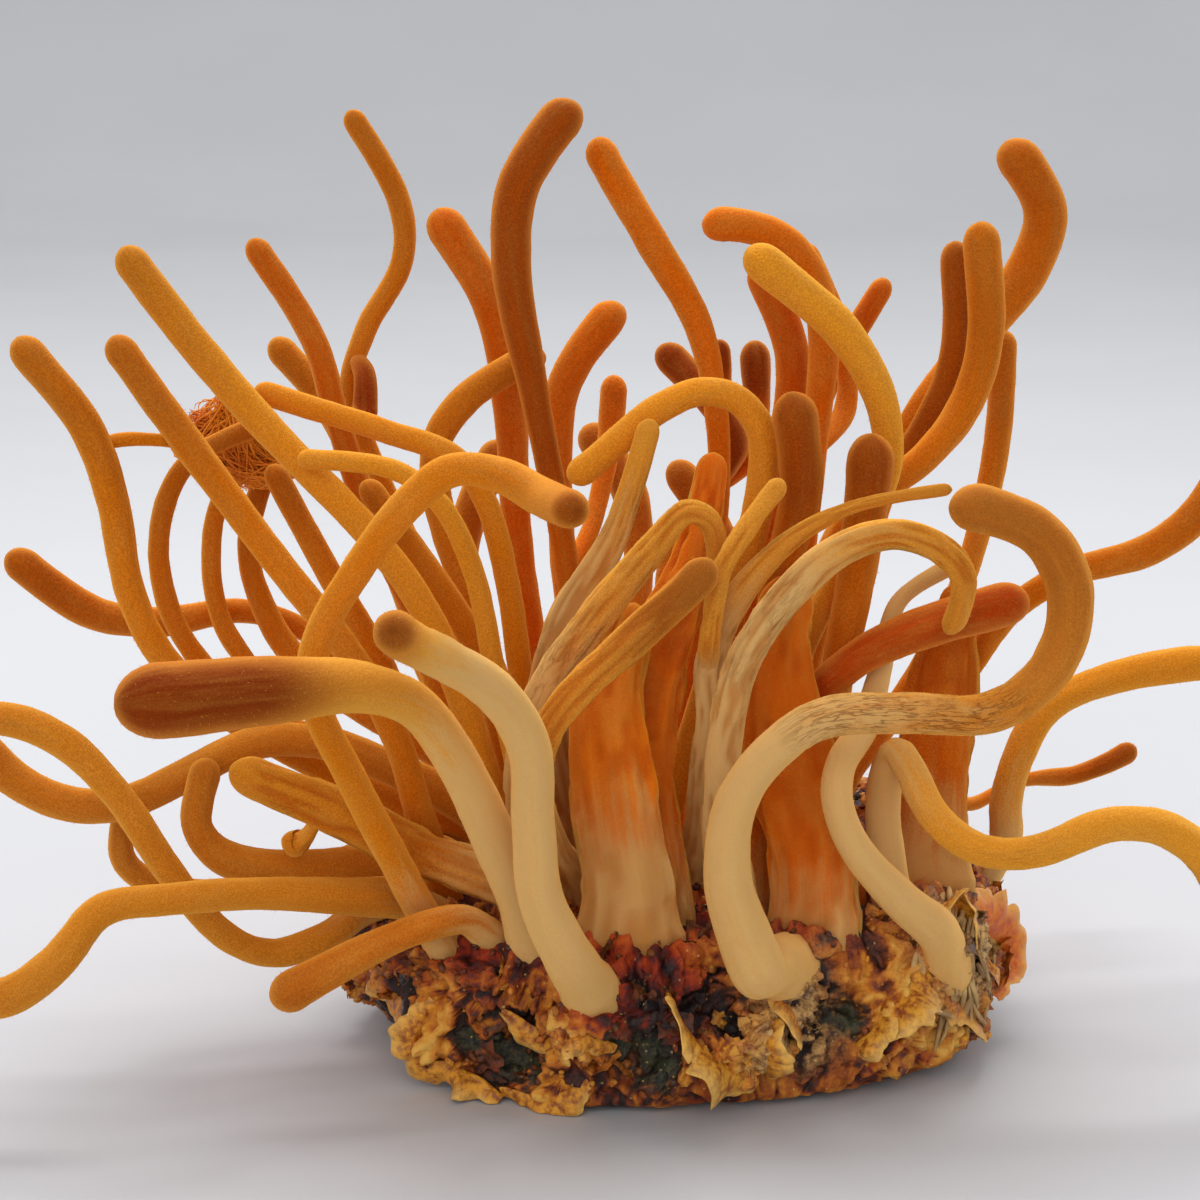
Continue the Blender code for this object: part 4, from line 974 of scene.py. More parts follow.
def strand_tree():
    """Round strands along the edges of a wire mesh, each point's thickness stored with it."""
    t, given, out = geometry_group("Strands", ("Sides", COUNT, 5))
    line = t.add("GeometryNodeMeshToCurve", {"Mesh": given["Geometry"]})
    ring = t.add("GeometryNodeCurvePrimitiveCircle", {"Resolution": given["Sides"], "Radius": 0.5 * MM})
    tube = t.add("GeometryNodeCurveToMesh", {
        "Curve": line.outputs[0], "Profile Curve": ring.outputs[0], "Fill Caps": True,
        "Scale": stored_value(t, "thickness"),
    })
    real = t.add("GeometryNodeRealizeInstances", {"Geometry": tube.outputs[0]}).outputs[0]
    return t.finish(real, given, out)


def crust_tree():
    """Lumps, folds and cracks over the block, kept as a height for its colour. Its underside stays flat."""
    t, given, out = geometry_group(
        "Crust relief", ("Fold depth", VALUE, 1.5), ("Crack depth", VALUE, 0.7), ("Grain", VALUE, 0.30)
    )
    place = in_millimetres(t)
    bent = t.vector("ADD", place, t.vector("SCALE", t.wander(place, 0.10, 2.0), 9.0))
    ridge = t.crease(t.noise(bent, 0.17, 3, 0.55), 0.11)
    cracks = t.spread(t.cells(bent, 0.36, "DISTANCE_TO_EDGE"), 0.0, 0.22)
    lumps = t.noise(bent, 0.42, 4, 0.6)
    torn = t.crease(t.noise(t.stretch(bent, (1, 1, 0.6)), 0.75, 4, 0.6), 0.13)
    grain = t.math("MULTIPLY_ADD", torn, 0.6, t.noise(place, 1.5, 4, 0.7))
    level = t.math("MULTIPLY_ADD", ridge, 0.45, t.math("MULTIPLY", lumps, 0.75))
    level = t.math("ADD", level, t.math("MULTIPLY_ADD", cracks, 0.18, -0.30))
    level = t.math("ADD", level, stored_value(t, "hollow"))
    height = t.math("MULTIPLY", t.math("SUBTRACT", level, 0.62), given["Fold depth"])
    height = t.math("MULTIPLY_ADD", cracks, given["Crack depth"], height)
    height = t.math("MULTIPLY_ADD", grain, given["Grain"], height)
    height = t.math("SUBTRACT", height, given["Crack depth"])
    up = t.add("ShaderNodeSeparateXYZ", {0: place}).outputs["Z"]
    height = t.math("MULTIPLY", height, t.spread(up, 0.3, 2.5, 0.0, MM))
    kept = t.keep(t.push_out(given["Geometry"], height), "height", level)
    return t.finish(t.keep(kept, "place", place, "FLOAT_VECTOR"), given, out)


def strewn_tree(kind):
    """Torn scales or round crumbs strewn over a surface, each turned, sized, bent and tinted its own way."""
    t, given, out = geometry_group(
        kind, ("Pieces per mm2", VALUE, 0.1), ("Size", VALUE, 1.5), ("Lean", VALUE, 0.8),
        ("Crumple", VALUE, 0.8), ("Seed", COUNT, 1),
    )
    height = t.add("ShaderNodeSeparateXYZ", {0: position(t)}).outputs["Z"]
    points = t.add("GeometryNodeDistributePointsOnFaces", {
        "Mesh": given["Geometry"], "Seed": given["Seed"],
        "Density": t.math("MULTIPLY", given["Pieces per mm2"], PER_SQUARE_MM),
        "Selection": t.math("GREATER_THAN", height, LOWEST_CRUMB * MM),
    })
    size = t.math("MULTIPLY", given["Size"], MM)
    if kind == "Scales":
        values = {"Size X": size, "Size Y": t.math("MULTIPLY", size, 0.7), "Vertices X": 7, "Vertices Y": 6}
        piece = t.add("GeometryNodeMeshGrid", values)
    else:
        values = {"Radius": t.math("MULTIPLY", size, 0.5), "Segments": 8, "Rings": 5}
        piece = t.add("GeometryNodeMeshUVSphere", values)
    pieces = scattered(t, given, points, piece, 0.35, 1.5)
    tint = t.add("FunctionNodeRandomValue", {2: 0.0, 3: 1.0, "Seed": 5}, data_type="FLOAT").outputs[1]
    tinted = t.keep(pieces, "tint", tint, domain="INSTANCE")
    real = t.add("GeometryNodeRealizeInstances", {"Geometry": tinted}).outputs[0]
    place = in_millimetres(t)
    push = t.vector("SCALE", t.wander(place, 0.8, 3.0, 0.6), t.math("MULTIPLY", given["Crumple"], 2 * MM))
    moved = t.add("GeometryNodeSetPosition", {"Geometry": real, "Offset": push}).outputs[0]
    kept = t.keep(moved, "place", place, "FLOAT_VECTOR")
    return t.finish(t.add("GeometryNodeSetShadeSmooth", {0: kept}).outputs[0], given, out)


def ready(obj, node=None, slot=None):
    """Fixes a finished piece to the frame."""
    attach(obj, "root")
    if node:
        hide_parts(node)
    return obj


def number_of(node):
    """A number of the stalk's own, made from its name."""
    return sum(map(ord, node))


def branch_data(run, length, shape, angles, offset, **plain):
    """What is stored at each point of a branch's skin, its tip and the middle of its foot."""
    sides = len(angles)
    size = np.sqrt(np.maximum(np.linalg.det(shape), 0))
    around, along = np.tile(angles, len(run)), np.repeat(run, sides)
    girth = size[:max(2, len(run) // 2)].mean()
    place = np.stack([np.cos(around) * girth, np.sin(around) * girth, along], axis=1)
    data = {
        "place": np.vstack([place, [0, 0, length], [0, 0, 0]]) + offset,
        "share": np.append(along / length, [1, 0]),
        "around": np.append(around / (2 * math.pi), [0.5, 0.5]),
        "run": np.append(along, [length, 0]),
        "girth": np.append(np.repeat(size, sides), [0, size[0]]),
    }
    data.update((name, np.full(len(along) + 2, float(value))) for name, value in plain.items())
    return data


def make_stalk(node, family, material, settings, block):
    """Lays a stalk's skin over its solid, twigs and all, with what its colours need stored on it."""
    look = LOOKS.get(node, FAMILY_LOOKS[family])
    grids, data = [], []
    branches = branches_of(node, block)
    stem = smooth_path([r.middle for r in branches[0][0]] + [branches[0][1]], STEM_STEP)
    for rings, tip, rooted in branches:
        wide = 2 * math.sqrt(max(np.linalg.eigvalsh(r.spread)[-1] for r in rings))
        sides = settings.sides if wide > THICK else round(settings.sides * THIN_SIDES)
        rows, *measures = skin_grid(rings, tip, rooted, sides, settings.step / MM)
        grids.append((rows, tip))
        offset = STALK_APART * (number_of(node) % 97) + TWIG_APART * len(data)
        leaves = np.linalg.norm(stem - rings[0].middle, axis=1).argmin() / len(stem)
        red = node in RED_TWIGS and not rooted
        data.append(branch_data(*measures, offset, rooted=rooted, leaves=leaves, red=red))
    mesh = mesh_from_rows(node, grids)
    joined = {key: np.concatenate([d[key] for d in data]) for key in data[0]}
    share = joined["share"]
    from_foot = np.where(joined["rooted"] > 0, share, joined["leaves"] + share * TWIG_CREAM_FADE)
    club = CLUB_STRENGTH * look.dark * np.clip((share - look.club + CLUB_LEAD) / CLUB_FADE, 0, 1)
    tone = look.tone + TONE_SPREAD * math.sin(number_of(node)) + RED_TWIG_TONE * joined["red"]
    furrow = look.furrow * np.clip(joined["girth"] / FURROWED_FROM, LEAST_FURROW, 1)
    store(mesh, "place", joined["place"], "FLOAT_VECTOR")
    store(mesh, "cream", np.clip(CREAM_END + CREAM_FADE * (look.cream - from_foot), -0.4, 1.2))
    store(mesh, "club", np.maximum(club, RED_TWIG_CLUB * joined["red"]))
    store(mesh, "tone", tone)
    store(mesh, "furrow", furrow * np.clip((1 - share) / FURROW_FADE, LEAST_FURROW, 1))
    store(mesh, "wrinkle", look.wrinkle * np.exp(-((share - WRINKLED_AT) / WRINKLE_REACH) ** 2))
    give_uv(mesh, joined["around"], joined["run"] * MM * 10)
    obj = show(node + "_skin", mesh)
    run_nodes(obj, shared("Skin relief", relief_tree), {
        "Unevenness": settings.unevenness / MM, "Grain": settings.grain / MM, "Material": material,
    })
    foot = branches[0][0][0]
    obj["foot"] = [*foot.middle.tolist(), radius(foot)]
    return ready(obj, node, family + "_stalk")


# The block and what lies on it


def seen_on(surface, across, down):
    """The point of a surface that shows at a place of the photograph's window, and its normal there.

    Where the place is just off the surface's edge, that is the nearest point of its front.
    """
    level, rise = math.cos(EYE_TILT), math.sin(EYE_TILT)
    eye = WINDOW_MIDDLE + EYE_DISTANCE * Vector((0, -level, rise))
    right, up = across - WINDOW / 2, WINDOW / 2 - down
    ray = Vector((right, up * rise + EYE_DISTANCE * level, up * level - EYE_DISTANCE * rise))
    place, normal, _, _ = surface.ray_cast(eye, ray.normalized())
    if place is None:
        place, normal, _, _ = surface.find_nearest(eye + ray * ((FRONT - eye.y) / ray.y))
    return np.array(place), np.array(normal)


# How far in front of the bunch's middle the block's front is, along Y
FRONT = -27.0
# The crust's main pits and lumps: the middle of each in the window, its size, and how far it falls or rises
HOLLOWS = (
    ((51.5, 105.5), 4.6, -0.42), ((64.5, 106.5), 3.2, -0.40), ((71, 101), 3.4, -0.36),
    ((81, 105.5), 2.4, -0.34), ((84, 101), 2.2, -0.42), ((62, 98), 3.6, -0.20), ((48, 104), 2.2, 0.16),
    ((42, 104.5), 2.4, 0.22), ((52, 110.3), 3.6, 0.20), ((57, 103), 3.0, 0.22), ((67, 101.5), 2.0, 0.26),
    ((70, 107), 2.6, 0.30), ((76.5, 103), 3.6, 0.24), ((90, 101), 3.6, 0.24), ((95, 104), 4.0, 0.16),
    ((41, 97), 3.4, 0.02),
)
# How sharply the pits and the patches of colour end, and how maroon the mounds round the feet are
HOLLOW_EDGE, MARK_EDGE, FOOT_MAROON = 1.2, 1.1, 0.7
# Where the crust's colours gather: the middle of each patch in the window, and its size
MARKS = {
    "ochre": (
        ((43, 106), 3.2), ((48, 110.5), 3.4), ((54, 110.5), 3.4), ((56.5, 104), 4.2), ((61, 96), 2.6),
        ((70, 96), 4.2), ((74, 106), 3.4), ((89.5, 99), 4.2), ((92, 104.5), 4.5), ((44.5, 99), 3.0),
        ((97, 104), 3.4),
    ),
    "maroon": (
        ((56, 94), 3.0), ((64, 94.5), 3.4), ((77, 93), 3.0), ((64, 102), 5.4), ((69, 100), 3.6),
        ((81.5, 106), 2.8), ((60, 93), 4.6), ((70, 92.5), 4.4), ((47, 95.5), 3.6), ((86, 84), 5.0),
        ((50, 107), 3.0), ((39, 96.5), 3.0),
    ),
    "beige": (
        ((79.5, 99.5), 4.6), ((80.5, 103.5), 3.6), ((96, 93), 5.2), ((97.5, 98), 4.6), ((77, 106), 2.6),
    ),
    "mould": (
        ((66, 107.5), 3.0), ((85, 102), 2.0), ((52.5, 107), 3.2), ((48, 104.5), 2.4), ((42, 96), 2.0),
        ((98, 96.5), 1.6), ((62, 105), 2.2),
    ),
}

# A flake's line across the crust in the window, its width, how far it curls over and how steeply it
# stands up, and its colour, from dull at 0 over yellow at 1 to red-orange at 2
Flake = namedtuple("Flake", "path width curl rise tint")
FLAKES = {
    "flap": Flake(
        ((67.2, 99.2), (68.2, 101.8), (70.4, 104.4), (73.2, 106.8), (76.2, 108.4)), 5.0, 1.5, 0.9, 0.8,
    ),
    "flap_back": Flake(((76.8, 108.2), (76.6, 104.6), (77.4, 101.6)), 3.6, 1.7, 1.2, 0.75),
    "petal": Flake(((93.0, 93.4), (94.8, 90.8), (97.0, 91.4), (97.8, 94.8)), 4.6, 1.0, 1.2, 1.0),
    "petal_low": Flake(((87.0, 103.2), (89.6, 100.4), (91.6, 97.4), (93.0, 94.6)), 4.6, 1.5, 0.8, 0.85),
    "petal_inner": Flake(((84.6, 105.2), (87.2, 102.8), (88.6, 99.8)), 3.4, 1.4, 0.9, 0.75),
    "lobe": Flake(((99.6, 99.5), (100.6, 95.0), (100.0, 88.8)), 4.6, 1.1, 0.7, 2.0),
    "left_rim": Flake(
        ((43.8, 100.4), (42.0, 103), (42.6, 106.6), (45.4, 109.4), (49, 110.8)), 4.0, 1.7, 0.9, 0.7,
    ),
    "lower_rim": Flake(((48.5, 110.8), (52.5, 110.9), (56.2, 109.8), (58.8, 107.6)), 3.4, 1.6, 0.9, 0.65),
    "pit_rim": Flake(((50.2, 101.4), (53.8, 103.4), (57.8, 103.2), (61.8, 105.2)), 3.4, 1.9, 0.8, 0.6),
    "flame": Flake(((63.2, 93.0), (64.6, 90.6), (65.4, 87.2)), 3.0, 0.8, 1.3, 1.0),
    "beige_wall": Flake(((77.6, 98.0), (79.4, 100.6), (80.4, 103.6), (79.6, 107.0)), 3.2, 0.9, 0.6, 0.5),
    "chip": Flake(((93.6, 99.0), (96.4, 100.4), (98.8, 103.4)), 3.0, 1.6, 0.9, 0.45),
    "left_fold": Flake(((36.8, 95.6), (38.8, 99.4), (42.4, 101.8)), 3.2, 1.6, 0.9, 0.45),
}
# How much a flake's width varies along its torn edge, how thick it is and how deep its root is sunk
RAGGED, FLAKE_THICKNESS, FLAKE_SINK = 0.32, 0.16, 0.8
# The gap between a flake's rows, the points across it and how often the way it faces is evened out
FLAKE_STEP, FLAKE_ACROSS, FLAKE_EVENED = 0.3, 13, 8


def near_marks(surface, points, marks, edge):
    """For each mark, how much of it reaches each point: 1 in its middle and less further off."""
    for place, size, *rest in marks:
        middle, _ = seen_on(surface, *place)
        yield np.exp(-edge * (np.linalg.norm(points - middle, axis=1) / size) ** 2), *rest


def make_crust(material, settings):
    """Gives the block's solid its crust, with pits, lumps, patches of colour and a mound round each foot."""
    corners, triangles = welded(frame["nodes"]["substrate_block"])
    mesh = bpy.data.meshes.new("substrate_crust")
    mesh.from_pydata((corners * MM).tolist(), [], triangles.tolist())
    mesh.update()
    obj = show("substrate_crust", mesh)
    divide(obj, settings.crust_levels)
    mesh = plain_mesh(obj).data
    points = points_of(mesh)
    surface = solid_surface("substrate_block")
    feet = np.zeros(len(points))
    for skin in bpy.context.scene.objects:
        if "foot" in skin:
            *middle, size = skin["foot"]
            away = np.linalg.norm(points - middle, axis=1) / (size + MOUND_REACH)
            feet = np.maximum(feet, np.exp(-away ** 4))
    hollow = sum(depth * near for near, depth in near_marks(surface, points, HOLLOWS, HOLLOW_EDGE))
    store(mesh, "hollow", hollow + MOUND * feet)
    for name, marks in MARKS.items():
        amount = sum(near for near, in near_marks(surface, points, marks, MARK_EDGE))
        if name == "maroon":
            amount += FOOT_MAROON * feet
        store(mesh, name, np.minimum(amount, 1))
    mesh.shade_smooth()
    run_nodes(obj, shared("Crust relief", crust_tree), {
        "Fold depth": settings.fold_depth / MM, "Crack depth": settings.crack_depth / MM,
        "Material": material,
    })
    obj.data.shade_smooth()
    return ready(obj, "substrate_block", "substrate")


def flake_rows(flake, line, normals):
    """Points across a flake at each point of its line, from its root to its curled edge."""
    along, _, _ = carried_frames(line)
    side = np.cross(along, normals)
    side /= np.linalg.norm(side, axis=1)[:, None]
    rows = []
    for i, (start, facing) in enumerate(zip(line, normals)):
        at = Vector(start)
        taper = math.sin(math.pi * (0.06 + 0.88 * i / (len(line) - 1))) ** 0.6
        tear = noise.noise(at * 0.7) + 0.8 * noise.noise(at * 2.2)
        step = flake.width * taper * (1 + RAGGED * tear) / (FLAKE_ACROSS - 1)
        place = start - facing * FLAKE_SINK
        for share in np.linspace(0, 1, FLAKE_ACROSS):
            angle = flake.rise + 0.4 - flake.curl * share * (1 + 0.5 * noise.noise(at * 0.4))
            crumple = 0.45 * share * noise.noise(Vector(place) * 0.9)
            crumple += 0.16 * noise.noise(Vector(place) * 2.3)
            across, forward, up = place + facing * crumple
            rows.append((across, forward, max(up, FLAKE_THICKNESS)))
            place = place + step * (math.cos(angle) * side[i] + math.sin(angle) * facing)
    return rows


def make_flake(name, flake, surface, material):
    """A strip of dry skin that stands up from the crust along a path and curls over."""
    line = smooth_path([seen_on(surface, *place)[0] for place in flake.path], FLAKE_STEP)
    normals = np.array([surface.find_nearest(Vector(point))[1] for point in line])
    for _ in range(FLAKE_EVENED):
        normals[1:-1] = (normals[:-2] + normals[1:-1] + normals[2:]) / 3
    points = flake_rows(flake, line, normals)
    index = np.arange(len(points)).reshape(-1, FLAKE_ACROSS)
    corners = (index[:-1, :-1], index[:-1, 1:], index[1:, 1:], index[1:, :-1])
    mesh = bpy.data.meshes.new(name)
    mesh.from_pydata((np.array(points) * MM).tolist(), [], np.stack(corners, axis=-1).reshape(-1, 4).tolist())
    mesh.update()
    mesh.shade_smooth()
    store(mesh, "place", points, "FLOAT_VECTOR")
    store(mesh, "edge", np.tile(np.linspace(0, 1, FLAKE_ACROSS), len(line)))
    store(mesh, "tint", np.full(len(points), flake.tint))
    obj = show(name, mesh, material)
    thick = obj.modifiers.new("thickness", "SOLIDIFY")
    thick.thickness = FLAKE_THICKNESS * MM
    thick.offset = 0
    divide(obj, 1)
    plain_mesh(obj)
    return ready(obj, slot="substrate")


def wire_mesh(name, lines, thicknesses):
    """A mesh of edges along some lines, with the thickness at each point stored."""
    points, edges, thick = [], [], []
    for line, size in zip(lines, thicknesses):
        first = len(points)
        points += [tuple(p * MM) for p in line]
        edges += [(first + i, first + i + 1) for i in range(len(line) - 1)]
        ends = np.sin(np.linspace(0.12, math.pi - 0.12, len(line))) ** 0.4
        thick += list(size * ends)
    mesh = bpy.data.meshes.new(name)
    mesh.from_pydata(points, edges, [])
    store(mesh, "thickness", thick)
    return mesh


# How many dry fibres there are
FIBRES = 90


def loose_fibres(surface, chance, count):
    """Short dry fibres that lie over the right-hand end of the block, most of them upright."""
    lines, sizes = [], []
    for _ in range(count):
        across, down = chance.uniform(91.5, 99.0), chance.uniform(88.5, 101.0)
        tilt, reach = chance.uniform(-0.5, 0.5), chance.uniform(2.0, 5.0)
        knots = [seen_on(surface, across + tilt * k, down + reach * k / 3) for k in range(4)]
        lift = chance.uniform(-0.5, 0.25)
        waved = [place + normal * (lift + 0.2 * math.sin(k * 1.3)) for k, (place, normal) in enumerate(knots)]
        lines.append(smooth_path(waved, 0.5))
        sizes.append(chance.uniform(0.25, 0.75))
    return lines, sizes


# The places between the upper left stalks that the web is strung between, how far from one of them a
# thread may start or end, and how far it may stray half-way
WEB_ANCHORS = np.array((
    (-46.0, 0, 61.5), (-43.0, -1, 63), (-40.0, 1, 61), (-37.5, 0, 57), (-44.0, 1, 58), (-41.0, 0, 56),
    (-47.0, 0, 58.5),
))
WEB_REACH, WEB_STRAY = 1.3, 1.6


def web_lines(chance, count):
    """Fine threads strung between the upper left stalks, which have grown together there."""
    lines, sizes = [], []
    for _ in range(count):
        a, b = chance.choice(len(WEB_ANCHORS), 2, replace=False)
        start = WEB_ANCHORS[a] + chance.uniform(-WEB_REACH, WEB_REACH, 3)
        end = WEB_ANCHORS[b] + chance.uniform(-WEB_REACH, WEB_REACH, 3)
        middle = (start + end) / 2 + chance.uniform(-WEB_STRAY, WEB_STRAY, 3)
        lines.append(smooth_path([start, middle, end], 1.0))
        sizes.append(chance.uniform(0.07, 0.22))
    return lines, sizes


class BunchSettings(bpy.types.PropertyGroup):
    """What can be changed in the bunch"""

    sides: IntProperty(name="Sides", description="Points round a thick stalk", default=28, min=8, max=64)
    step: FloatProperty(
        name="Step", description="Gap between a skin's rows", default=0.55 * MM, min=0.2 * MM,
        subtype="DISTANCE",
    )
    unevenness: FloatProperty(
        name="Unevenness", description="Slow swelling of the skin", default=0.15 * MM, subtype="DISTANCE",
    )
    grain: FloatProperty(
        name="Grain", description="Fine unevenness of the skin", default=0.03 * MM, subtype="DISTANCE",
    )
    cream: FloatVectorProperty(
        name="Cream", description="Colour of a stalk near its foot", default=CREAM, subtype="COLOR",
        min=0, max=1,
    )
    club: FloatVectorProperty(
        name="Club", description="Darkest colour of a club", default=CLUB_BROWN, subtype="COLOR",
        min=0, max=1,
    )
    fuzz: FloatProperty(
        name="Fuzz", description="Hairs on each square millimetre of skin", default=1.9, min=0,
    )
    fuzz_length: FloatProperty(
        name="Fuzz length", description="Length of a hair", default=0.34 * MM, subtype="DISTANCE",
    )
    threads: IntProperty(name="Threads", description="Threads in the web", default=900, min=2)
    thread: FloatVectorProperty(
        name="Thread", description="Colour of the web's threads", default=THREAD, subtype="COLOR",
        min=0, max=1,
    )
    crust_levels: IntProperty(
        name="Crust levels", description="Times the crust is divided", default=3, max=4,
    )
    fold_depth: FloatProperty(
        name="Fold depth", description="Height of the crust's folds", default=2.4 * MM, subtype="DISTANCE",
    )
    crack_depth: FloatProperty(
        name="Crack depth", description="Depth of the crust's cracks", default=0.5 * MM, subtype="DISTANCE",
    )
    seed: IntProperty(name="Seed", description="Number that all the scatter starts from", default=7)


def family_choice(use):
    """A choice of one of the families of stalks."""
    items = [(family, family.capitalize(), f"The {family} stalks") for family in FAMILIES]
    return EnumProperty(name="Family", description=use, items=items)


class BUNCH_OT_stalks(bpy.types.Operator):
    """Lay the skins of one family of stalks over its solids"""

    bl_idname = "bunch.stalks"
    bl_label = "Stalks"
    bl_options = {"REGISTER", "UNDO"}

    family: family_choice("Which stalks to build")

    def execute(self, context):
        settings = context.scene.bunch
        material = stalk_material(self.family, settings)
        block = solid_surface("substrate_block")
        for node in sorted(frame["nodes"]):
            if node.split("_")[0] == self.family:
                make_stalk(node, self.family, material, settings, block)
        return {"FINISHED"}


# A hair's width at its root, in millimetres, and how far it may lean
HAIR_WIDTH, HAIR_LEAN = 0.024, 0.8


class BUNCH_OT_fuzz(bpy.types.Operator):
    """Strew fine hairs over one family of stalks"""

    bl_idname = "bunch.fuzz"
    bl_label = "Fuzz"
    bl_options = {"REGISTER", "UNDO"}

    family: family_choice("Which stalks get their hairs")

    def execute(self, context):
        settings = context.scene.bunch
        name = self.family + "_fuzz"
        hair = fibre_material("fuzz_" + self.family, FUZZ[self.family], FLESH[self.family])
        points, faces, first = [], [], 0
        for skin in context.scene.objects:
            if skin.name.startswith(self.family) and skin.name.endswith("_skin"):
                points += [tuple(v.co) for v in skin.data.vertices]
                faces += [[first + v for v in p.vertices] for p in skin.data.polygons]
                first = len(points)
        mesh = bpy.data.meshes.new(name)
        mesh.from_pydata(points, [], faces)
        obj = show(name, mesh)
        run_nodes(obj, shared("Fuzz", fuzz_tree), {
            "Hairs per mm2": settings.fuzz, "Length": settings.fuzz_length / MM, "Thickness": HAIR_WIDTH,
            "Lean": HAIR_LEAN, "Seed": settings.seed, "Material": hair,
        })
        ready(obj, slot=self.family + "_stalk")
        return {"FINISHED"}


def make_strands(name, lines, sizes, sides, material, slot):
    """Round threads or fibres along some lines, as one finished piece."""
    obj = show(name, wire_mesh(name, lines, sizes))
    run_nodes(obj, shared("Strands", strand_tree), {"Sides": sides, "Material": material})
    ready(obj, slot=slot)


class BUNCH_OT_web(bpy.types.Operator):
    """String the web of fine threads between the upper left stalks"""

    bl_idname = "bunch.web"
    bl_label = "Web"
    bl_options = {"REGISTER", "UNDO"}

    def execute(self, context):
        settings = context.scene.bunch
        chance = np.random.default_rng(settings.seed)
        thread = fibre_material("web", tuple(settings.thread), THREAD_SHADE)
        make_strands("left_web", *web_lines(chance, settings.threads), 5, thread, "left_stalk")
        return {"FINISHED"}


class BUNCH_OT_substrate(bpy.types.Operator):
    """Build the block's crust and the dry fibres on it"""

    bl_idname = "bunch.substrate"
    bl_label = "Substrate"
    bl_options = {"REGISTER", "UNDO"}

    def execute(self, context):
        settings = context.scene.bunch
        make_crust(crust_material(), settings)
        surface = solid_surface("substrate_block")
        chance = np.random.default_rng(settings.seed + 1)
        dry = fibre_material("dry_fibre", DRY, DRY_SHADE)
        make_strands("substrate_fibres", *loose_fibres(surface, chance, FIBRES), 6, dry, "substrate")
        return {"FINISHED"}


# What is strewn over the crust: how many on a square millimetre, their size in millimetres, and how far
# they may lean and are crumpled
Strewn = namedtuple("Strewn", "amount size lean crumple")
STREWN = {"Scales": Strewn(0.03, 2.6, 0.35, 1.1), "Crumbs": Strewn(0.12, 0.8, 0.5, 0.5)}


class BUNCH_OT_flakes(bpy.types.Operator):
    """Stand the curled yellow flakes on the crust and strew small torn scales and crumbs round them"""

    bl_idname = "bunch.flakes"
    bl_label = "Flakes"
    bl_options = {"REGISTER", "UNDO"}

    def execute(self, context):
        surface = solid_surface("substrate_block")
        material = flake_material()
        for name, flake in FLAKES.items():
            make_flake("flake_" + name, flake, surface, material)
        settings = context.scene.bunch
        crust = bpy.data.objects["substrate_crust"].data
        for kind, strewn in STREWN.items():
            obj = show("substrate_" + kind.lower(), crust.copy())
            obj.data.materials.clear()
            run_nodes(obj, strewn_tree(kind), {
                "Pieces per mm2": strewn.amount, "Size": strewn.size, "Lean": strewn.lean,
                "Crumple": strewn.crumple, "Seed": settings.seed, "Material": material,
            })
            ready(obj, slot="substrate")
        return {"FINISHED"}


# The stage, in metres: the floor, the sweep that joins it to the backdrop, and the backdrop's top
FLOOR_WIDTH, FLOOR_FRONT, FLOOR_BACK = 3.0, -1.2, 1.4
SWEEP_RADIUS, SWEEP_STEPS, SWEEP_TOP = 0.5, 24, 2.2
# The paper's colour near the bunch, darkened as painted shade, and far behind it, paled as painted light
NEAR_FLOOR_PAINTED_SHADE, FAR_FLOOR_PAINTED_LIGHT = rgb(198, 199, 202), rgb(246, 247, 249)
WORLD_COLOUR, WORLD_LIGHT = (0.88, 0.89, 0.92, 1), 0.50
# Each lamp's place and size in metres, its power in watts and its colour
Lamp = namedtuple("Lamp", "place size power colour", defaults=((1, 1, 1),))
LAMPS = {
    "top_softbox": Lamp((-0.02, 0.22, 0.62), (0.5, 0.4), 3.8),
    "front_fill": Lamp((-0.12, -0.65, 0.34), (0.7, 0.5), 2.1, (1.0, 0.98, 0.95)),
    "right_rim": Lamp((0.5, 0.25, 0.25), (0.3, 0.4), 0.8),
    "left_rim": Lamp((-0.5, 0.25, 0.3), (0.3, 0.4), 0.8),
}


def add_floor():
    """A pale floor that sweeps up into a backdrop."""
    sweep_start = FLOOR_BACK - SWEEP_RADIUS
    profile = [(FLOOR_FRONT, 0.0), (0.3, 0.0), (sweep_start, 0.0)]
    for i in range(1, SWEEP_STEPS + 1):
        angle = math.radians(90 * i / SWEEP_STEPS)
        rise = SWEEP_RADIUS * (1 - math.cos(angle))
        profile.append((sweep_start + SWEEP_RADIUS * math.sin(angle), rise))
    profile.append((FLOOR_BACK, SWEEP_TOP))
    points = [(x, y, z) for y, z in profile for x in (-FLOOR_WIDTH / 2, FLOOR_WIDTH / 2)]
    faces = [(2 * i, 2 * i + 1, 2 * i + 3, 2 * i + 2) for i in range(len(profile) - 1)]
    mesh = bpy.data.meshes.new("floor")
    mesh.from_pydata(points, [], faces)
    mesh.shade_smooth()
    show("floor", mesh, stage_material("floor", NEAR_FLOOR_PAINTED_SHADE, FAR_FLOOR_PAINTED_LIGHT, 0.6))


def add_light(name, lamp, target):
    """A flat rectangular lamp that shines at a target."""
    light = bpy.data.lights.new(name, "AREA")
    light.shape = "RECTANGLE"
    light.size, light.size_y = lamp.size
    light.energy = lamp.power
    light.color = lamp.colour
    obj = show(name, light)
    obj.location = lamp.place
    obj.rotation_euler = (Vector(target) - Vector(lamp.place)).to_track_quat("-Z", "Y").to_euler()


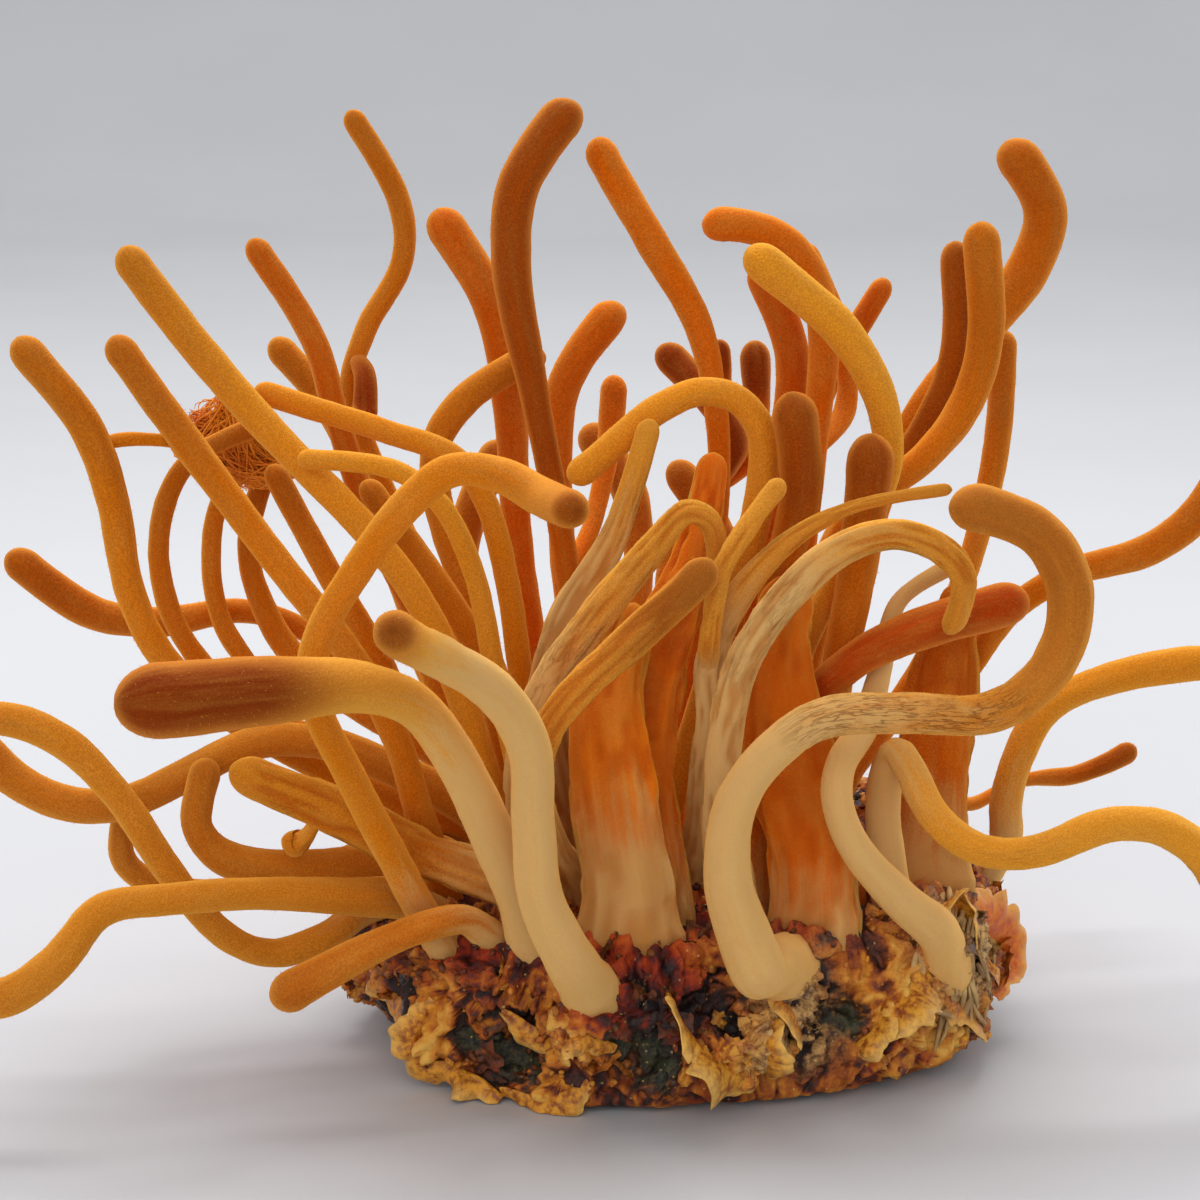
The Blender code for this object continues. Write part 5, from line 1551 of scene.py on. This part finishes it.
class BUNCH_OT_stage(bpy.types.Operator):
    """Set the floor, the light and the camera"""

    bl_idname = "bunch.stage"
    bl_label = "Stage"
    bl_options = {"REGISTER", "UNDO"}

    def execute(self, context):
        scene = context.scene
        add_floor()
        middle = WINDOW_MIDDLE * MM
        for name, lamp in LAMPS.items():
            add_light(name, lamp, middle)
        world = bpy.data.worlds.new("studio")
        world.use_nodes = True
        background = world.node_tree.nodes["Background"]
        background.inputs[0].default_value = WORLD_COLOUR
        background.inputs[1].default_value = WORLD_LIGHT
        scene.world = world
        lens = bpy.data.cameras.new("camera")
        lens.sensor_width, lens.lens = SENSOR_WIDTH, LENS
        lens.clip_start, lens.clip_end = 0.01, 10
        camera = show("camera", lens)
        back = Vector((0, -math.cos(EYE_TILT), math.sin(EYE_TILT)))
        camera.location = middle + back * EYE_DISTANCE * MM
        camera.rotation_euler = (-back).to_track_quat("-Z", "Y").to_euler()
        scene.camera = camera
        scene.view_settings.view_transform = "Standard"
        return {"FINISHED"}


class BUNCH_PT_panel(bpy.types.Panel):
    """The bunch's settings and its steps in order"""

    bl_label = "Cordyceps Bunch"
    bl_idname = "BUNCH_PT_panel"
    bl_space_type = "VIEW_3D"
    bl_region_type = "UI"
    bl_category = "Cordyceps"

    def draw(self, context):
        column = self.layout.column(align=True)
        for name in BunchSettings.__annotations__:
            column.prop(context.scene.bunch, name)
        for family in FAMILIES:
            row = self.layout.row(align=True)
            row.operator("bunch.stalks", text=family.capitalize()).family = family
            row.operator("bunch.fuzz", text="Fuzz").family = family
        for step in ("bunch.web", "bunch.substrate", "bunch.flakes", "bunch.stage"):
            self.layout.operator(step)


CLASSES = (
    BunchSettings, BUNCH_OT_stalks, BUNCH_OT_fuzz, BUNCH_OT_web, BUNCH_OT_substrate, BUNCH_OT_flakes,
    BUNCH_OT_stage, BUNCH_PT_panel,
)


def register():
    """Makes the operators, the panel and the settings known to Blender."""
    for made in CLASSES:
        bpy.utils.register_class(made)
    bpy.types.Scene.bunch = PointerProperty(type=BunchSettings)


def unregister():
    """Takes them out again."""
    del bpy.types.Scene.bunch
    for made in reversed(CLASSES):
        bpy.utils.unregister_class(made)


def main():
    """Builds the whole bunch and its stage."""
    register()
    for family in FAMILIES:
        bpy.ops.bunch.stalks(family=family)
        bpy.ops.bunch.fuzz(family=family)
    bpy.ops.bunch.web()
    bpy.ops.bunch.substrate()
    bpy.ops.bunch.flakes()
    bpy.ops.bunch.stage()
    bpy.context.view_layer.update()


if __name__ == "__main__":
    main()
